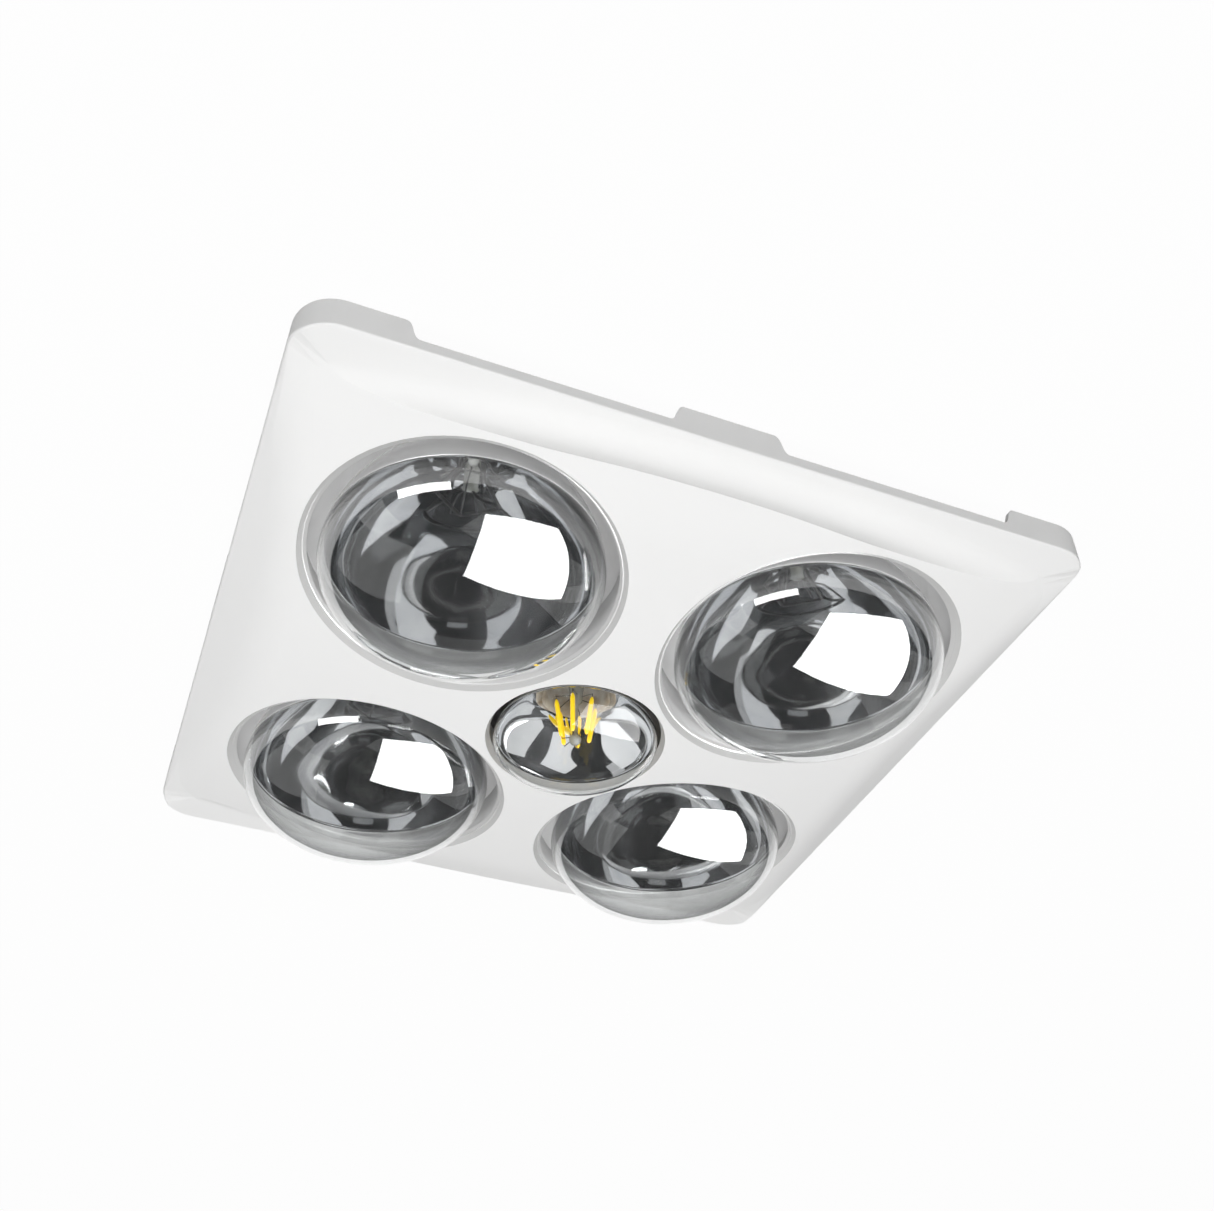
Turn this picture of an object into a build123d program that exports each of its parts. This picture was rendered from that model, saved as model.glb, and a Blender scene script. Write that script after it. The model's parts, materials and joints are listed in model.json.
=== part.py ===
from build123d import *
from math import atan2, cos, degrees, hypot, radians, sin, sqrt
import os

os.makedirs("parts", exist_ok=True)

# Ceiling heater with exhaust fan and light, in millimetres.
# The origin is the middle of the ceiling opening, in the plane of the ceiling's underside.
# +Z points up into the ceiling void, +X to the duct outlet and -Y to the front.

# Gaps and cuts that all pieces share
overrun = 3.0
fit_gap = 0.3
running_gap = 0.05

# Front panel
panel_margin = 23.9
panel_corner_radius = 18.0
panel_wall = 2.4
skirt_height = 15.6
rim_edge_radius = 0.9
dome_depth = 27.1
dome_corner_gap = 25.9
# The dome rolls over into a flat slope on each side: steep at right and left, gentle at front and rear,
# where a hollow cove with a sharp crease follows
face_land = 4.0
side_slope_angle = 35.0
side_roll_radius = 40.0
end_slope_angle = 16.0
end_roll_radius = 100.0
cove_width = 17.0
cove_depth = 10.6
cove_plan_radius = 1000.0
slot_height = 9.8
slot_tab_half = 20.5
slot_corner_length = 41.0
slot_side_lean = 7.0
slot_pull_share = 0.6

# Lamp openings in the face: the gaps are those round the lamps, at the face and at the lip's inner end
opening_web = 2.9
heat_hole_gap = 9.6
heat_lip_gap = 5.7
light_hole_gap = 3.7
light_lip_gap = 1.8
lip_depth = 3.8
lip_wall = 2.4

# Springs that hold the panel up, and the ears that they hook into
spring_wall_gap = 12.0
spring_radius = 4.5
spring_wire_radius = 0.6
hook_radius = 3.5
hook_hole_radius = 2.0
post_width = 9.0
post_thickness = 2.6
post_top_z = -4.0
ear_width = 9.0
ear_bottom_z = 35.0
hook_rest = 1.0

# Steel housing in the ceiling
housing_sheet = 1.0
housing_bend_radius = 4.0
flange_width = 17.0
flange_corner_radius = 8.0
flange_hole_inset = 8.0
flange_hole_radius = 2.5
top_lip = 10.0
top_screw_inset = 22.0

# Screws: the same pan-head screw in several lengths
screw_radius = 1.75
screw_head_radius = 3.5
screw_head_height = 2.2
screw_hole_gap = 0.15
short_screw = 5.0

# Heat lamps
heat_lamp_radius = 62.5
heat_lamp_widest_z = -31.5
heat_lamp_front_height = 35.4
heat_lamp_length = 178.0
heat_neck_radius = 18.0
heat_ring_radius = 17.0
heat_ring_z = 18.0
heat_bulb_shares = (0.28, 0.42, 0.16)

# Centre lamp
light_lamp_radius = 40.1
light_lamp_widest_z = -42.3
light_lamp_front_height = 16.2
light_lamp_length = 115.0
light_neck_radius = 17.0
light_bulb_shares = (0.17, 0.76, 0.52)
stick_count = 6
stick_radius = 1.1
stick_top_reach = 10.5
stick_foot_reach = 7.0
stick_height = 22.0
stick_foot_z = -41.0
stem_tip_radius = 3.0

# What all lamps share; a bulb's own three shares set its belly, its shoulder and where its neck begins
glass_wall = 1.0
bulb_flare_share = 0.07
bulb_cap_share = 0.08
cap_radius = 13.1
cap_skirt_length = 20.0
cap_length = 27.0
contact_radius = 4.5
stem_radius = 4.5
lead_width = 1.2

# Heat reflectors
reflector_sheet = 0.8
reflector_side_gap = 2.0
reflector_rim_gap = 8.0
reflector_waist_step = 1.5
reflector_waist_z = 2.0
reflector_throat_gap = 0.4
reflector_throat_drop = 8.1
reflector_foot = 8.0
reflector_upper_share = 0.72
reflector_lower_share = 0.35

# Lampholders
holder_radius = 20.0
holder_mouth_radius = 17.5
holder_wall = 3.0
holder_length = 41.0
holder_screw_pitch = 48.0
lug_radius = 4.8
lug_thickness = 5.0
shell_wall = 0.5
shell_length = 22.0

# Bracket of the centre lampholder
bracket_sheet = 1.5
bracket_width = 38.0
bracket_foot = 14.0

# Fan scroll
scroll_wall = 2.0
scroll_tongue_gap = 10.0
scroll_growth = 38.0
scroll_points = 9
scroll_end_angle = 270.0
outlet_width = 84.0
outlet_overhang = 2.0
inlet_step = 6.0
scroll_ear_radius = 5.0
scroll_ear_reach = 3.5
scroll_ear_angles = (40.0, 110.0, 170.0, 235.0)

# Impeller
impeller_radius = 70.0
impeller_eye_radius = 58.0
impeller_floor_gap = 3.0
impeller_roof_gap = 3.0
impeller_height = 42.0
impeller_ring = 2.0
blade_count = 36
blade_thickness = 0.9
blade_lead_angle = 8.0
blade_mid_angle = 1.8
hub_radius = 10.0
hub_length = 22.0

# Motor
shaft_radius = 4.0
motor_radius = 38.0
motor_wall = 1.2
motor_stand_off = 4.0
motor_lower_height = 15.0
motor_upper_height = 19.0
motor_boss_wall = 1.5
motor_boss_height = 4.0
motor_ear_radius = 7.0
motor_ear_step = 8.0
motor_ear_count = 3
motor_vents = 10
motor_vent_length = 12.0
motor_vent_width = 3.0
cover_hole_gap = 1.0
stator_window_reach = 27.5
stator_window_radius = 4.5
stator_window_count = 6
stator_height = 16.0
rotor_radius = 19.0
rotor_gap = 0.5
rotor_height = 18.0
bearing_radius = 7.5
bearing_length = 8.0
shaft_tail = 3.0
grommet_radius = 5.0
grommet_flange = 2.0

# Duct outlet and back-draught damper
spigot_radius = 49.5
spigot_wall = 1.5
spigot_length = 42.0
adaptor_length = 30.0
adaptor_flange = 2.0
adaptor_flange_rim = 8.0
flap_thickness = 1.0
flap_side_gap = 1.5
flap_inset = 8.0
pin_radius = 1.5
flap_barrel_radius = 2.8
sill_width = 2.5
sill_height = 3.0

# Electrical parts on the top plate
terminal_x = -40.0
terminal_edge_gap = 6.0
terminal_length = 92.0
terminal_width = 36.0
terminal_height = 34.0
terminal_wall = 1.8
terminal_lid_wall = 2.0
block_length = 48.0
block_width = 18.0
block_height = 15.0
block_ways = 5
block_screw_radius = 2.4
block_screw_depth = 5.0
gland_radius = 9.0
gland_bore_radius = 4.0
gland_length = 16.0
gland_nut_height = 6.0
gland_step = 2.0
wire_hole_radius = 7.0
wire_hole_shift = 15.0
grommet_wall = 1.6
capacitor_gap = 46.0
capacitor_saddle_height = 6.5
capacitor_radius = 13.0
capacitor_length = 42.0
cutout_y = 92.0
cutout_radius = 8.0
cutout_height = 9.0

# Sizes that follow from the ones above: first the plan, from the lamps outwards
heat_hole_radius = heat_lamp_radius + heat_hole_gap
heat_lip_radius = heat_lamp_radius + heat_lip_gap
light_hole_radius = light_lamp_radius + light_hole_gap
light_lip_radius = light_lamp_radius + light_lip_gap
heat_lamp_pitch = (heat_hole_radius + light_hole_radius + opening_web) * sqrt(2)
panel_side = heat_lamp_pitch + 2 * (heat_hole_radius + panel_margin)
slot_foot_half = panel_side / 2 - slot_corner_length
reflector_rim_radius = heat_lamp_radius + reflector_rim_gap
reflector_waist_radius = heat_lamp_radius - reflector_waist_step
reflector_throat_radius = holder_screw_pitch / 2 + lug_radius + reflector_throat_gap + reflector_sheet
housing_inside = heat_lamp_pitch + 2 * (reflector_waist_radius + reflector_side_gap)
housing_side = housing_inside + 2 * housing_sheet
flange_side = housing_side + 2 * flange_width
flange_hole_pitch = flange_side - 2 * flange_hole_inset
top_screw_pitch = housing_inside - 2 * top_screw_inset
spring_reach = housing_inside / 2 - spring_wall_gap
inlet_radius = impeller_eye_radius - inlet_step
bracket_half_span = inlet_radius + bracket_sheet
scroll_tongue_radius = impeller_radius + scroll_tongue_gap
scroll_end_radius = scroll_tongue_radius + scroll_growth
outlet_end_x = housing_side / 2 + outlet_overhang
outlet_middle_y = outlet_width / 2 - scroll_end_radius
motor_boss_radius = bearing_radius + motor_boss_wall
motor_ear_reach = motor_radius + motor_ear_step
terminal_y = housing_side / 2 - terminal_edge_gap - terminal_width / 2
wire_hole_x = terminal_x - wire_hole_shift
capacitor_x = terminal_x + terminal_length / 2 + capacitor_gap

# Then the heights, from the ceiling down to the face and up to the motor
rim_z = -skirt_height
dome_edge_reach = panel_side / sqrt(2) - dome_corner_gap
dome_radius = (dome_edge_reach**2 + dome_depth**2) / (2 * dome_depth)
dome_centre_z = rim_z - dome_depth + dome_radius
screw_hole_radius = screw_radius + screw_hole_gap
heat_cap_z = heat_lamp_widest_z - heat_lamp_front_height + heat_lamp_length - cap_length
light_cap_z = light_lamp_widest_z - light_lamp_front_height + light_lamp_length - cap_length
light_back_z = light_cap_z + holder_wall + holder_length
reflector_rim_z = rim_z - panel_wall
reflector_throat_z = heat_cap_z - reflector_throat_drop
housing_height = heat_cap_z + holder_wall + holder_length
plate_top_z = housing_height + housing_sheet
scroll_floor_z = plate_top_z + scroll_wall
impeller_z = scroll_floor_z + impeller_floor_gap
cover_z = impeller_z + impeller_height + impeller_roof_gap
scroll_height = cover_z - plate_top_z
cover_top_z = cover_z + scroll_wall
outlet_middle_z = (scroll_floor_z + cover_z) / 2
motor_z = cover_top_z + motor_stand_off
pin_x = outlet_end_x - flap_inset
pin_z = cover_z - flap_barrel_radius - flap_side_gap
gland_z = plate_top_z + terminal_height / 2
quarter_turn = 90.0
corners = {"front_left": (-1, -1), "front_right": (1, -1), "rear_left": (-1, 1), "rear_right": (1, 1)}
sides = {"right": 0, "rear": 90, "left": 180, "front": 270}
coved_sides = ("rear", "front")


def face_z(reach):
    """Height of the domed face at a distance from the panel's middle."""
    return dome_centre_z - sqrt(dome_radius**2 - reach**2)


def upright(angle=0.0, x=0.0, y=0.0):
    """An upright plane through (x, y): its first axis points outwards at the angle, its second up."""
    turn = radians(angle)
    return Plane(origin=(x, y, 0), x_dir=(cos(turn), sin(turn), 0), z_dir=(sin(turn), -cos(turn), 0))


def corner_place(signs):
    """Middle of the heat lamp in one corner."""
    return signs[0] * heat_lamp_pitch / 2, signs[1] * heat_lamp_pitch / 2


def keep(piece, name):
    """Names a finished piece and writes it."""
    piece.label = name
    export_step(piece, f"parts/{name}.step")


def screw_set(places, seat_z, length, head_up=True):
    """Pan-head screws whose heads rest at seat_z."""
    way = 1 if head_up else -1
    with BuildPart() as screws:
        with BuildSketch(Plane.XY.offset(seat_z)):
            with Locations(*places):
                Circle(screw_head_radius)
        extrude(amount=way * screw_head_height)
        with BuildSketch(Plane.XY.offset(seat_z)):
            with Locations(*places):
                Circle(screw_radius)
        extrude(amount=-way * length)
    return screws.part


# Front panel

def cove_cutter(inset):
    """A concave cove along the right-hand side, moved into the panel by inset."""
    crease_x = panel_side / 2 - cove_width
    crease_z = rim_z - cove_depth
    land_x = panel_side / 2 - face_land
    low_z = rim_z - dome_depth - overrun
    far_x = panel_side / 2 + dome_depth
    with BuildPart() as cutter:
        with BuildSketch(Plane.XZ):
            with BuildLine():
                EllipticalCenterArc(
                    center=(land_x, crease_z),
                    x_radius=land_x - crease_x + inset,
                    y_radius=rim_z - crease_z + inset,
                    start_angle=quarter_turn,
                    arc_size=quarter_turn,
                )
                Polyline(
                    (crease_x - inset, crease_z),
                    (crease_x - inset, low_z),
                    (far_x, low_z),
                    (far_x, rim_z + inset),
                    (land_x, rim_z + inset),
                )
            make_face()
        revolve(axis=Axis((crease_x - cove_plan_radius, 0, 0), (0, 0, 1)))
    return cutter.part


def dome_ball(inset):
    """The dome's ball with a flat slope cut on it towards each side and the slope's edge rolled over."""
    side_place = (side_slope_angle, panel_side / 2 - face_land, 0, side_roll_radius)
    end_place = (end_slope_angle, panel_side / 2 - cove_width, cove_depth, end_roll_radius)
    with BuildPart() as ball:
        with Locations((0, 0, dome_centre_z)):
            Sphere(dome_radius - inset)
        for side, turn in sides.items():
            slope, reach, drop, roll = end_place if side in coved_sides else side_place
            tilt = radians(slope)
            outward = Vector(sin(tilt), 0, -cos(tilt)).rotate(Axis.Z, turn)
            distance = reach * sin(tilt) + (dome_centre_z - rim_z + drop) * cos(tilt) - inset
            flat = Plane(Vector(0, 0, dome_centre_z) + outward * distance, z_dir=outward)
            split(bisect_by=flat, keep=Keep.BOTTOM)
            slope_face = ball.faces().filter_by(GeomType.PLANE).sort_by(Axis((0, 0, 0), outward))[-1]
            fillet(slope_face.edges(), radius=roll - inset)
    return ball.part


def dome_cap(inset):
    """The shallow dome below the rim, drawn in on every face by inset."""
    side = panel_side - 2 * inset
    with BuildPart() as cap:
        with BuildSketch(Plane.XY.offset(rim_z + inset)):
            RectangleRounded(side, side, panel_corner_radius - inset)
        extrude(amount=-dome_depth - overrun)
        add(dome_ball(inset), mode=Mode.INTERSECT)
    return cap.part


def panel_form(inset, top_z):
    """The panel's whole outline up to top_z, drawn in on every face by inset."""
    side = panel_side - 2 * inset
    cap = dome_cap(inset)
    cutter = cove_cutter(inset)
    with BuildPart() as form:
        with BuildSketch(Plane.XY.offset(rim_z + inset)):
            RectangleRounded(side, side, panel_corner_radius - inset)
        extrude(amount=top_z - rim_z - inset)
        fillet(form.edges().group_by(Axis.Z)[0], radius=rim_edge_radius)
        add(cap)
        for side in coved_sides:
            add(cutter, rotation=(0, 0, sides[side]), mode=Mode.SUBTRACT)
    return form.part


def slot_cutter():
    """The two air slots of the right-hand side of the skirt, open to the ceiling, with S-curved ends."""
    tab_end = slot_tab_half + slot_side_lean
    foot_end = slot_foot_half - slot_side_lean
    pull = slot_side_lean * slot_pull_share
    with BuildPart() as cutter:
        for way in (-1, 1):
            with BuildSketch(Plane.YZ.offset(panel_side / 2 - panel_wall - overrun)):
                with BuildLine():
                    Line((way * tab_end, -slot_height), (way * foot_end, -slot_height))
                    Bezier(
                        (way * foot_end, -slot_height),
                        (way * (foot_end + pull), -slot_height),
                        (way * (slot_foot_half - pull), 0),
                        (way * slot_foot_half, 0),
                    )
                    Polyline(
                        (way * slot_foot_half, 0),
                        (way * slot_foot_half, overrun),
                        (way * slot_tab_half, overrun),
                        (way * slot_tab_half, 0),
                    )
                    Bezier(
                        (way * slot_tab_half, 0),
                        (way * (slot_tab_half + pull), 0),
                        (way * (tab_end - pull), -slot_height),
                        (way * tab_end, -slot_height),
                    )
                make_face()
            extrude(amount=panel_wall + 2 * overrun)
    return cutter.part


def hole_plane(place, radius):
    """Plane of a round opening's edge on the dome, with its normal into the panel."""
    off_centre = hypot(place[0], place[1])
    chord_reach = sqrt(dome_radius**2 - radius**2)
    middle_z = dome_centre_z - sqrt(chord_reach**2 - off_centre**2)
    inward = (-place[0], -place[1], dome_centre_z - middle_z)
    return Plane(origin=(place[0], place[1], middle_z), x_dir=(1, 0, place[0] / inward[2]), z_dir=inward)


openings = [(corner_place(signs), heat_hole_radius, heat_lip_radius) for signs in corners.values()]
openings.append(((0, 0), light_hole_radius, light_lip_radius))
outer_form = panel_form(0, 0)
inner_form = panel_form(panel_wall, overrun)
air_slots = slot_cutter()

with BuildPart() as front_panel:
    add(outer_form)
    add(inner_form, mode=Mode.SUBTRACT)
    for turn in sides.values():
        add(air_slots, rotation=(0, 0, turn), mode=Mode.SUBTRACT)
    # A raised collar round each opening, then the tapered opening through it
    for place, face_radius, lip_radius in openings:
        with BuildSketch(hole_plane(place, face_radius)):
            Circle(lip_radius + lip_wall)
        extrude(amount=lip_depth)
    for place, face_radius, lip_radius in openings:
        below = overrun + face_radius**2 / (2 * dome_radius)
        widening = (face_radius - lip_radius) / lip_depth
        with Locations(hole_plane(place, face_radius).offset(-below)):
            Cone(
                face_radius + below * widening,
                lip_radius,
                below + lip_depth,
                align=(Align.CENTER, Align.CENTER, Align.MIN),
                mode=Mode.SUBTRACT,
            )
    # Posts with a hole for the spring's hook
    post_foot_z = face_z(spring_reach) + panel_wall / 2
    for turn in sides.values():
        with BuildSketch(upright(turn).offset(-post_thickness / 2)):
            with Locations((spring_reach, (post_top_z + post_foot_z) / 2)):
                Rectangle(post_width, post_top_z - post_foot_z)
            with Locations((spring_reach, post_top_z - 2 * hook_hole_radius)):
                Circle(hook_hole_radius, mode=Mode.SUBTRACT)
        extrude(amount=post_thickness)
keep(front_panel.part, "front_panel")

# Housing: folded steel box with its flange below the ceiling, a return lip on top and four ears

top_screw_places = [
    (way * (housing_inside - top_lip) / 2, other * top_screw_pitch / 2)
    for way in (-1, 1) for other in (-1, 1)
]
top_screw_places += [(y, x) for x, y in top_screw_places]
ear_hole_z = ear_bottom_z + 2 * hook_hole_radius
ear_reach = housing_inside / 2 - spring_reach + ear_width / 2

with BuildPart() as housing_box:
    with BuildSketch(Plane.XY.offset(-housing_sheet)):
        RectangleRounded(housing_side, housing_side, housing_bend_radius)
        RectangleRounded(
            housing_inside, housing_inside, housing_bend_radius - housing_sheet, mode=Mode.SUBTRACT
        )
    extrude(amount=housing_height + housing_sheet)
    with BuildSketch(Plane.XY.offset(-housing_sheet)):
        RectangleRounded(flange_side, flange_side, flange_corner_radius)
        RectangleRounded(
            housing_inside, housing_inside, housing_bend_radius - housing_sheet, mode=Mode.SUBTRACT
        )
        with GridLocations(flange_hole_pitch, flange_hole_pitch, 2, 2):
            Circle(flange_hole_radius, mode=Mode.SUBTRACT)
    extrude(amount=housing_sheet)
    with BuildSketch(Plane.XY.offset(housing_height - housing_sheet)):
        RectangleRounded(housing_side, housing_side, housing_bend_radius)
        lip_inside = housing_inside - 2 * top_lip
        RectangleRounded(lip_inside, lip_inside, housing_bend_radius, mode=Mode.SUBTRACT)
        with Locations(*top_screw_places):
            Circle(screw_hole_radius, mode=Mode.SUBTRACT)
    extrude(amount=housing_sheet)
    for turn in sides.values():
        with BuildSketch(upright(turn).offset(-housing_sheet / 2)):
            with Locations((housing_inside / 2 - ear_reach / 2, ear_bottom_z + ear_width / 2)):
                Rectangle(ear_reach, ear_width)
            with Locations((spring_reach, ear_hole_z)):
                Circle(hook_hole_radius, mode=Mode.SUBTRACT)
        extrude(amount=housing_sheet)
keep(housing_box.part, "housing_box")


# Springs: a close-wound body with a hook ring at each end, one ring in a post and one in an ear

lower_hook_z = post_top_z - hook_hole_radius - hook_rest + hook_radius
upper_hook_z = ear_hole_z - hook_hole_radius + hook_rest - hook_radius
# The inner half of each ring lies in the last turns of the body
spring_bottom_z = lower_hook_z + spring_wire_radius
spring_top_z = upper_hook_z - spring_wire_radius
for side, turn in sides.items():
    away = radians(turn)
    spring_x = spring_reach * cos(away)
    spring_y = spring_reach * sin(away)
    with BuildPart() as panel_spring:
        with BuildSketch(Plane.XY.offset(spring_bottom_z)):
            with Locations((spring_x, spring_y)):
                Circle(spring_radius)
                Circle(spring_radius - 2 * spring_wire_radius, mode=Mode.SUBTRACT)
        extrude(amount=spring_top_z - spring_bottom_z)
        for hook_z in (lower_hook_z, upper_hook_z):
            hook_plane = Plane(origin=(spring_x, spring_y, hook_z), z_dir=(cos(away), sin(away), 0))
            with BuildSketch(hook_plane.offset(-spring_wire_radius)):
                Circle(hook_radius + spring_wire_radius)
                Circle(hook_radius - spring_wire_radius, mode=Mode.SUBTRACT)
            extrude(amount=2 * spring_wire_radius)
    keep(panel_spring.part, f"panel_spring_{side}")


# Top plate with the fan inlet, the wire hole and the screw holes of what it carries

def holder_screws_of(place):
    """Places of a lampholder's two screws."""
    half = holder_screw_pitch / 2
    return [(place[0] - half, place[1]), (place[0] + half, place[1])]


def scroll_reach(angle):
    """Radius of the scroll's wall at an angle in degrees, widening evenly from tongue to outlet."""
    grown = (angle - tongue_angle) / (scroll_end_angle - tongue_angle)
    return scroll_tongue_radius + grown * (scroll_end_radius - scroll_tongue_radius)


def at_angle(reach, angle):
    """A point at a reach and an angle in degrees."""
    return reach * cos(radians(angle)), reach * sin(radians(angle))


tongue_y = outlet_width - scroll_end_radius
tongue_x = sqrt(scroll_tongue_radius**2 - tongue_y**2)
tongue_angle = degrees(atan2(tongue_y, tongue_x))
scroll_ears = [at_angle(scroll_reach(angle) + scroll_ear_reach, angle) for angle in scroll_ear_angles]
heat_places = [corner_place(signs) for signs in corners.values()]
holder_places = [place for middle in heat_places for place in holder_screws_of(middle)]
bracket_screw_x = bracket_half_span + bracket_sheet + bracket_foot / 2
bracket_places = [(-bracket_screw_x, 0), (bracket_screw_x, 0)]
terminal_places = [(terminal_x + way * terminal_length / 3, terminal_y) for way in (-1, 1)]

with BuildPart() as top_plate:
    with BuildSketch(Plane.XY.offset(housing_height)):
        RectangleRounded(housing_side, housing_side, housing_bend_radius)
        Circle(inlet_radius, mode=Mode.SUBTRACT)
        with Locations(*top_screw_places, *holder_places, *bracket_places, *scroll_ears, *terminal_places):
            Circle(screw_hole_radius, mode=Mode.SUBTRACT)
        with Locations((wire_hole_x, terminal_y)):
            Circle(wire_hole_radius, mode=Mode.SUBTRACT)
    extrude(amount=housing_sheet)
keep(top_plate.part, "top_plate")
keep(screw_set(top_screw_places, plate_top_z, short_screw), "top_plate_screws")


# Heat reflectors: spun cones that narrow to a throat round the lampholder, with a foot on the top plate

throat_inside = reflector_throat_radius - reflector_sheet
upper_pull_z = reflector_throat_z * reflector_upper_share
lower_pull_z = reflector_throat_z * reflector_lower_share
for corner, signs in corners.items():
    x, y = corner_place(signs)
    with BuildPart() as reflector:
        with BuildSketch(upright(0, x, y)):
            with BuildLine():
                Polyline(
                    (reflector_throat_radius + reflector_foot, housing_height),
                    (throat_inside, housing_height),
                    (throat_inside, reflector_throat_z),
                )
                Bezier(
                    (throat_inside, reflector_throat_z),
                    (throat_inside + reflector_foot, upper_pull_z),
                    (reflector_waist_radius - reflector_sheet - reflector_foot, lower_pull_z),
                    (reflector_waist_radius - reflector_sheet, reflector_waist_z),
                )
                Polyline(
                    (reflector_waist_radius - reflector_sheet, reflector_waist_z),
                    (reflector_rim_radius - reflector_sheet, reflector_rim_z),
                    (reflector_rim_radius, reflector_rim_z),
                    (reflector_waist_radius, reflector_waist_z),
                )
                Bezier(
                    (reflector_waist_radius, reflector_waist_z),
                    (reflector_waist_radius - reflector_foot, lower_pull_z),
                    (reflector_throat_radius + reflector_foot, upper_pull_z),
                    (reflector_throat_radius, reflector_throat_z),
                )
                Polyline(
                    (reflector_throat_radius, reflector_throat_z),
                    (reflector_throat_radius, housing_height - reflector_sheet),
                    (reflector_throat_radius + reflector_foot, housing_height - reflector_sheet),
                    (reflector_throat_radius + reflector_foot, housing_height),
                )
            make_face()
        revolve(axis=Axis((x, y, 0), (0, 0, 1)))
    keep(reflector.part, f"reflector_{corner}")


# Lamps

def bulb(place, radius, widest_z, front_height, neck_radius, cap_z, form_shares):
    """Closed glass bulb: a domed front, a parabolic back and a neck that ends in the cap."""
    back_height = cap_z - widest_z
    belly, shoulder, neck_start = (back_height * share for share in form_shares)
    with BuildPart() as glass:
        for inset, mode in ((0, Mode.ADD), (glass_wall, Mode.SUBTRACT)):
            wide = radius - inset
            neck = neck_radius - inset
            top_z = cap_z - inset
            with BuildSketch(upright(0, *place)):
                with BuildLine():
                    EllipticalCenterArc(
                        center=(0, widest_z),
                        x_radius=wide,
                        y_radius=front_height - inset,
                        start_angle=-quarter_turn,
                        arc_size=quarter_turn,
                    )
                    Bezier(
                        (wide, widest_z),
                        (wide, widest_z + belly),
                        (neck, cap_z - shoulder),
                        (neck, cap_z - neck_start),
                    )
                    Bezier(
                        (neck, cap_z - neck_start),
                        (neck, cap_z - back_height * bulb_flare_share),
                        (cap_radius - inset, cap_z - back_height * bulb_cap_share),
                        (cap_radius - inset, top_z),
                    )
                    Polyline(
                        (cap_radius - inset, top_z),
                        (0, top_z),
                        (0, widest_z - front_height + inset),
                    )
                make_face()
            revolve(axis=Axis((*place, 0), (0, 0, 1)), mode=mode)
    return glass.part


def screw_cap(place, cap_z):
    """Screw cap: the skirt, the insulating cone and the contact."""
    end_z = cap_z + cap_length
    shoulder = (cap_length - cap_skirt_length) / 2
    with BuildPart() as cap:
        with BuildSketch(upright(0, *place)):
            with BuildLine():
                Polyline(
                    (0, cap_z),
                    (cap_radius, cap_z),
                    (cap_radius, cap_z + cap_skirt_length),
                    (cap_radius - shoulder, cap_z + cap_skirt_length + shoulder),
                    (contact_radius + shoulder / 2, end_z - shoulder / 2),
                    (contact_radius, end_z - shoulder / 2),
                    (contact_radius - shoulder / 2, end_z),
                    (0, end_z),
                    close=True,
                )
            make_face()
        revolve(axis=Axis((*place, 0), (0, 0, 1)))
    return cap.part


def lampholder(place, cap_z):
    """Porcelain holder round a lamp's cap, with its back face on what carries it."""
    mouth_z = cap_z + holder_wall
    back_z = mouth_z + holder_length
    bore = cap_radius + shell_wall + 2 * fit_gap
    with BuildPart() as holder:
        with BuildSketch(upright(0, *place)):
            with BuildLine():
                Polyline(
                    (bore, mouth_z),
                    (holder_mouth_radius, mouth_z),
                    (holder_mouth_radius, mouth_z + shell_length / 2),
                    (holder_radius, mouth_z + shell_length),
                    (holder_radius, back_z),
                    (0, back_z),
                    (0, cap_z + cap_length + holder_wall),
                    (bore, cap_z + cap_length + holder_wall),
                    close=True,
                )
            make_face()
        revolve(axis=Axis((*place, 0), (0, 0, 1)))
        with BuildSketch(Plane.XY.offset(back_z)):
            with Locations(place):
                SlotOverall(holder_screw_pitch + 2 * lug_radius, 2 * lug_radius)
            with Locations(*holder_screws_of(place)):
                Circle(screw_hole_radius, mode=Mode.SUBTRACT)
        extrude(amount=-lug_thickness)
    return holder.part


def holder_contacts(place, cap_z):
    """Brass screw shell and centre contact of a lampholder, as two solids."""
    end_z = cap_z + cap_length
    with BuildPart() as contacts:
        with BuildSketch(Plane.XY.offset(end_z + holder_wall - shell_length)):
            with Locations(place):
                Circle(cap_radius + shell_wall + fit_gap)
                Circle(cap_radius + fit_gap, mode=Mode.SUBTRACT)
        extrude(amount=shell_length)
        with BuildSketch(Plane.XY.offset(end_z)):
            with Locations(place):
                Circle(contact_radius)
        extrude(amount=holder_wall)
    return contacts.part


for corner, signs in corners.items():
    place = corner_place(signs)
    glass = bulb(
        place, heat_lamp_radius, heat_lamp_widest_z, heat_lamp_front_height, heat_neck_radius, heat_cap_z,
        heat_bulb_shares,
    )
    keep(glass, f"heat_lamp_glass_{corner}")
    keep(screw_cap(place, heat_cap_z), f"heat_lamp_cap_{corner}")
    keep(lampholder(place, heat_cap_z), f"heat_lampholder_{corner}")
    # Filament ring on four leads that spread from the glass stem
    with BuildPart() as filament:
        with BuildSketch(Plane.XY.offset(heat_ring_z)):
            with Locations(place):
                Circle(stem_radius)
        extrude(amount=heat_cap_z - glass_wall - heat_ring_z)
        with BuildSketch(Plane.XY.offset(heat_ring_z)):
            with Locations(place):
                Circle(heat_ring_radius)
                Circle(heat_ring_radius - lead_width, mode=Mode.SUBTRACT)
                Rectangle(2 * heat_ring_radius - lead_width, lead_width)
                Rectangle(lead_width, 2 * heat_ring_radius - lead_width)
        extrude(amount=lead_width)
    keep(filament.part, f"heat_lamp_filament_{corner}")

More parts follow.
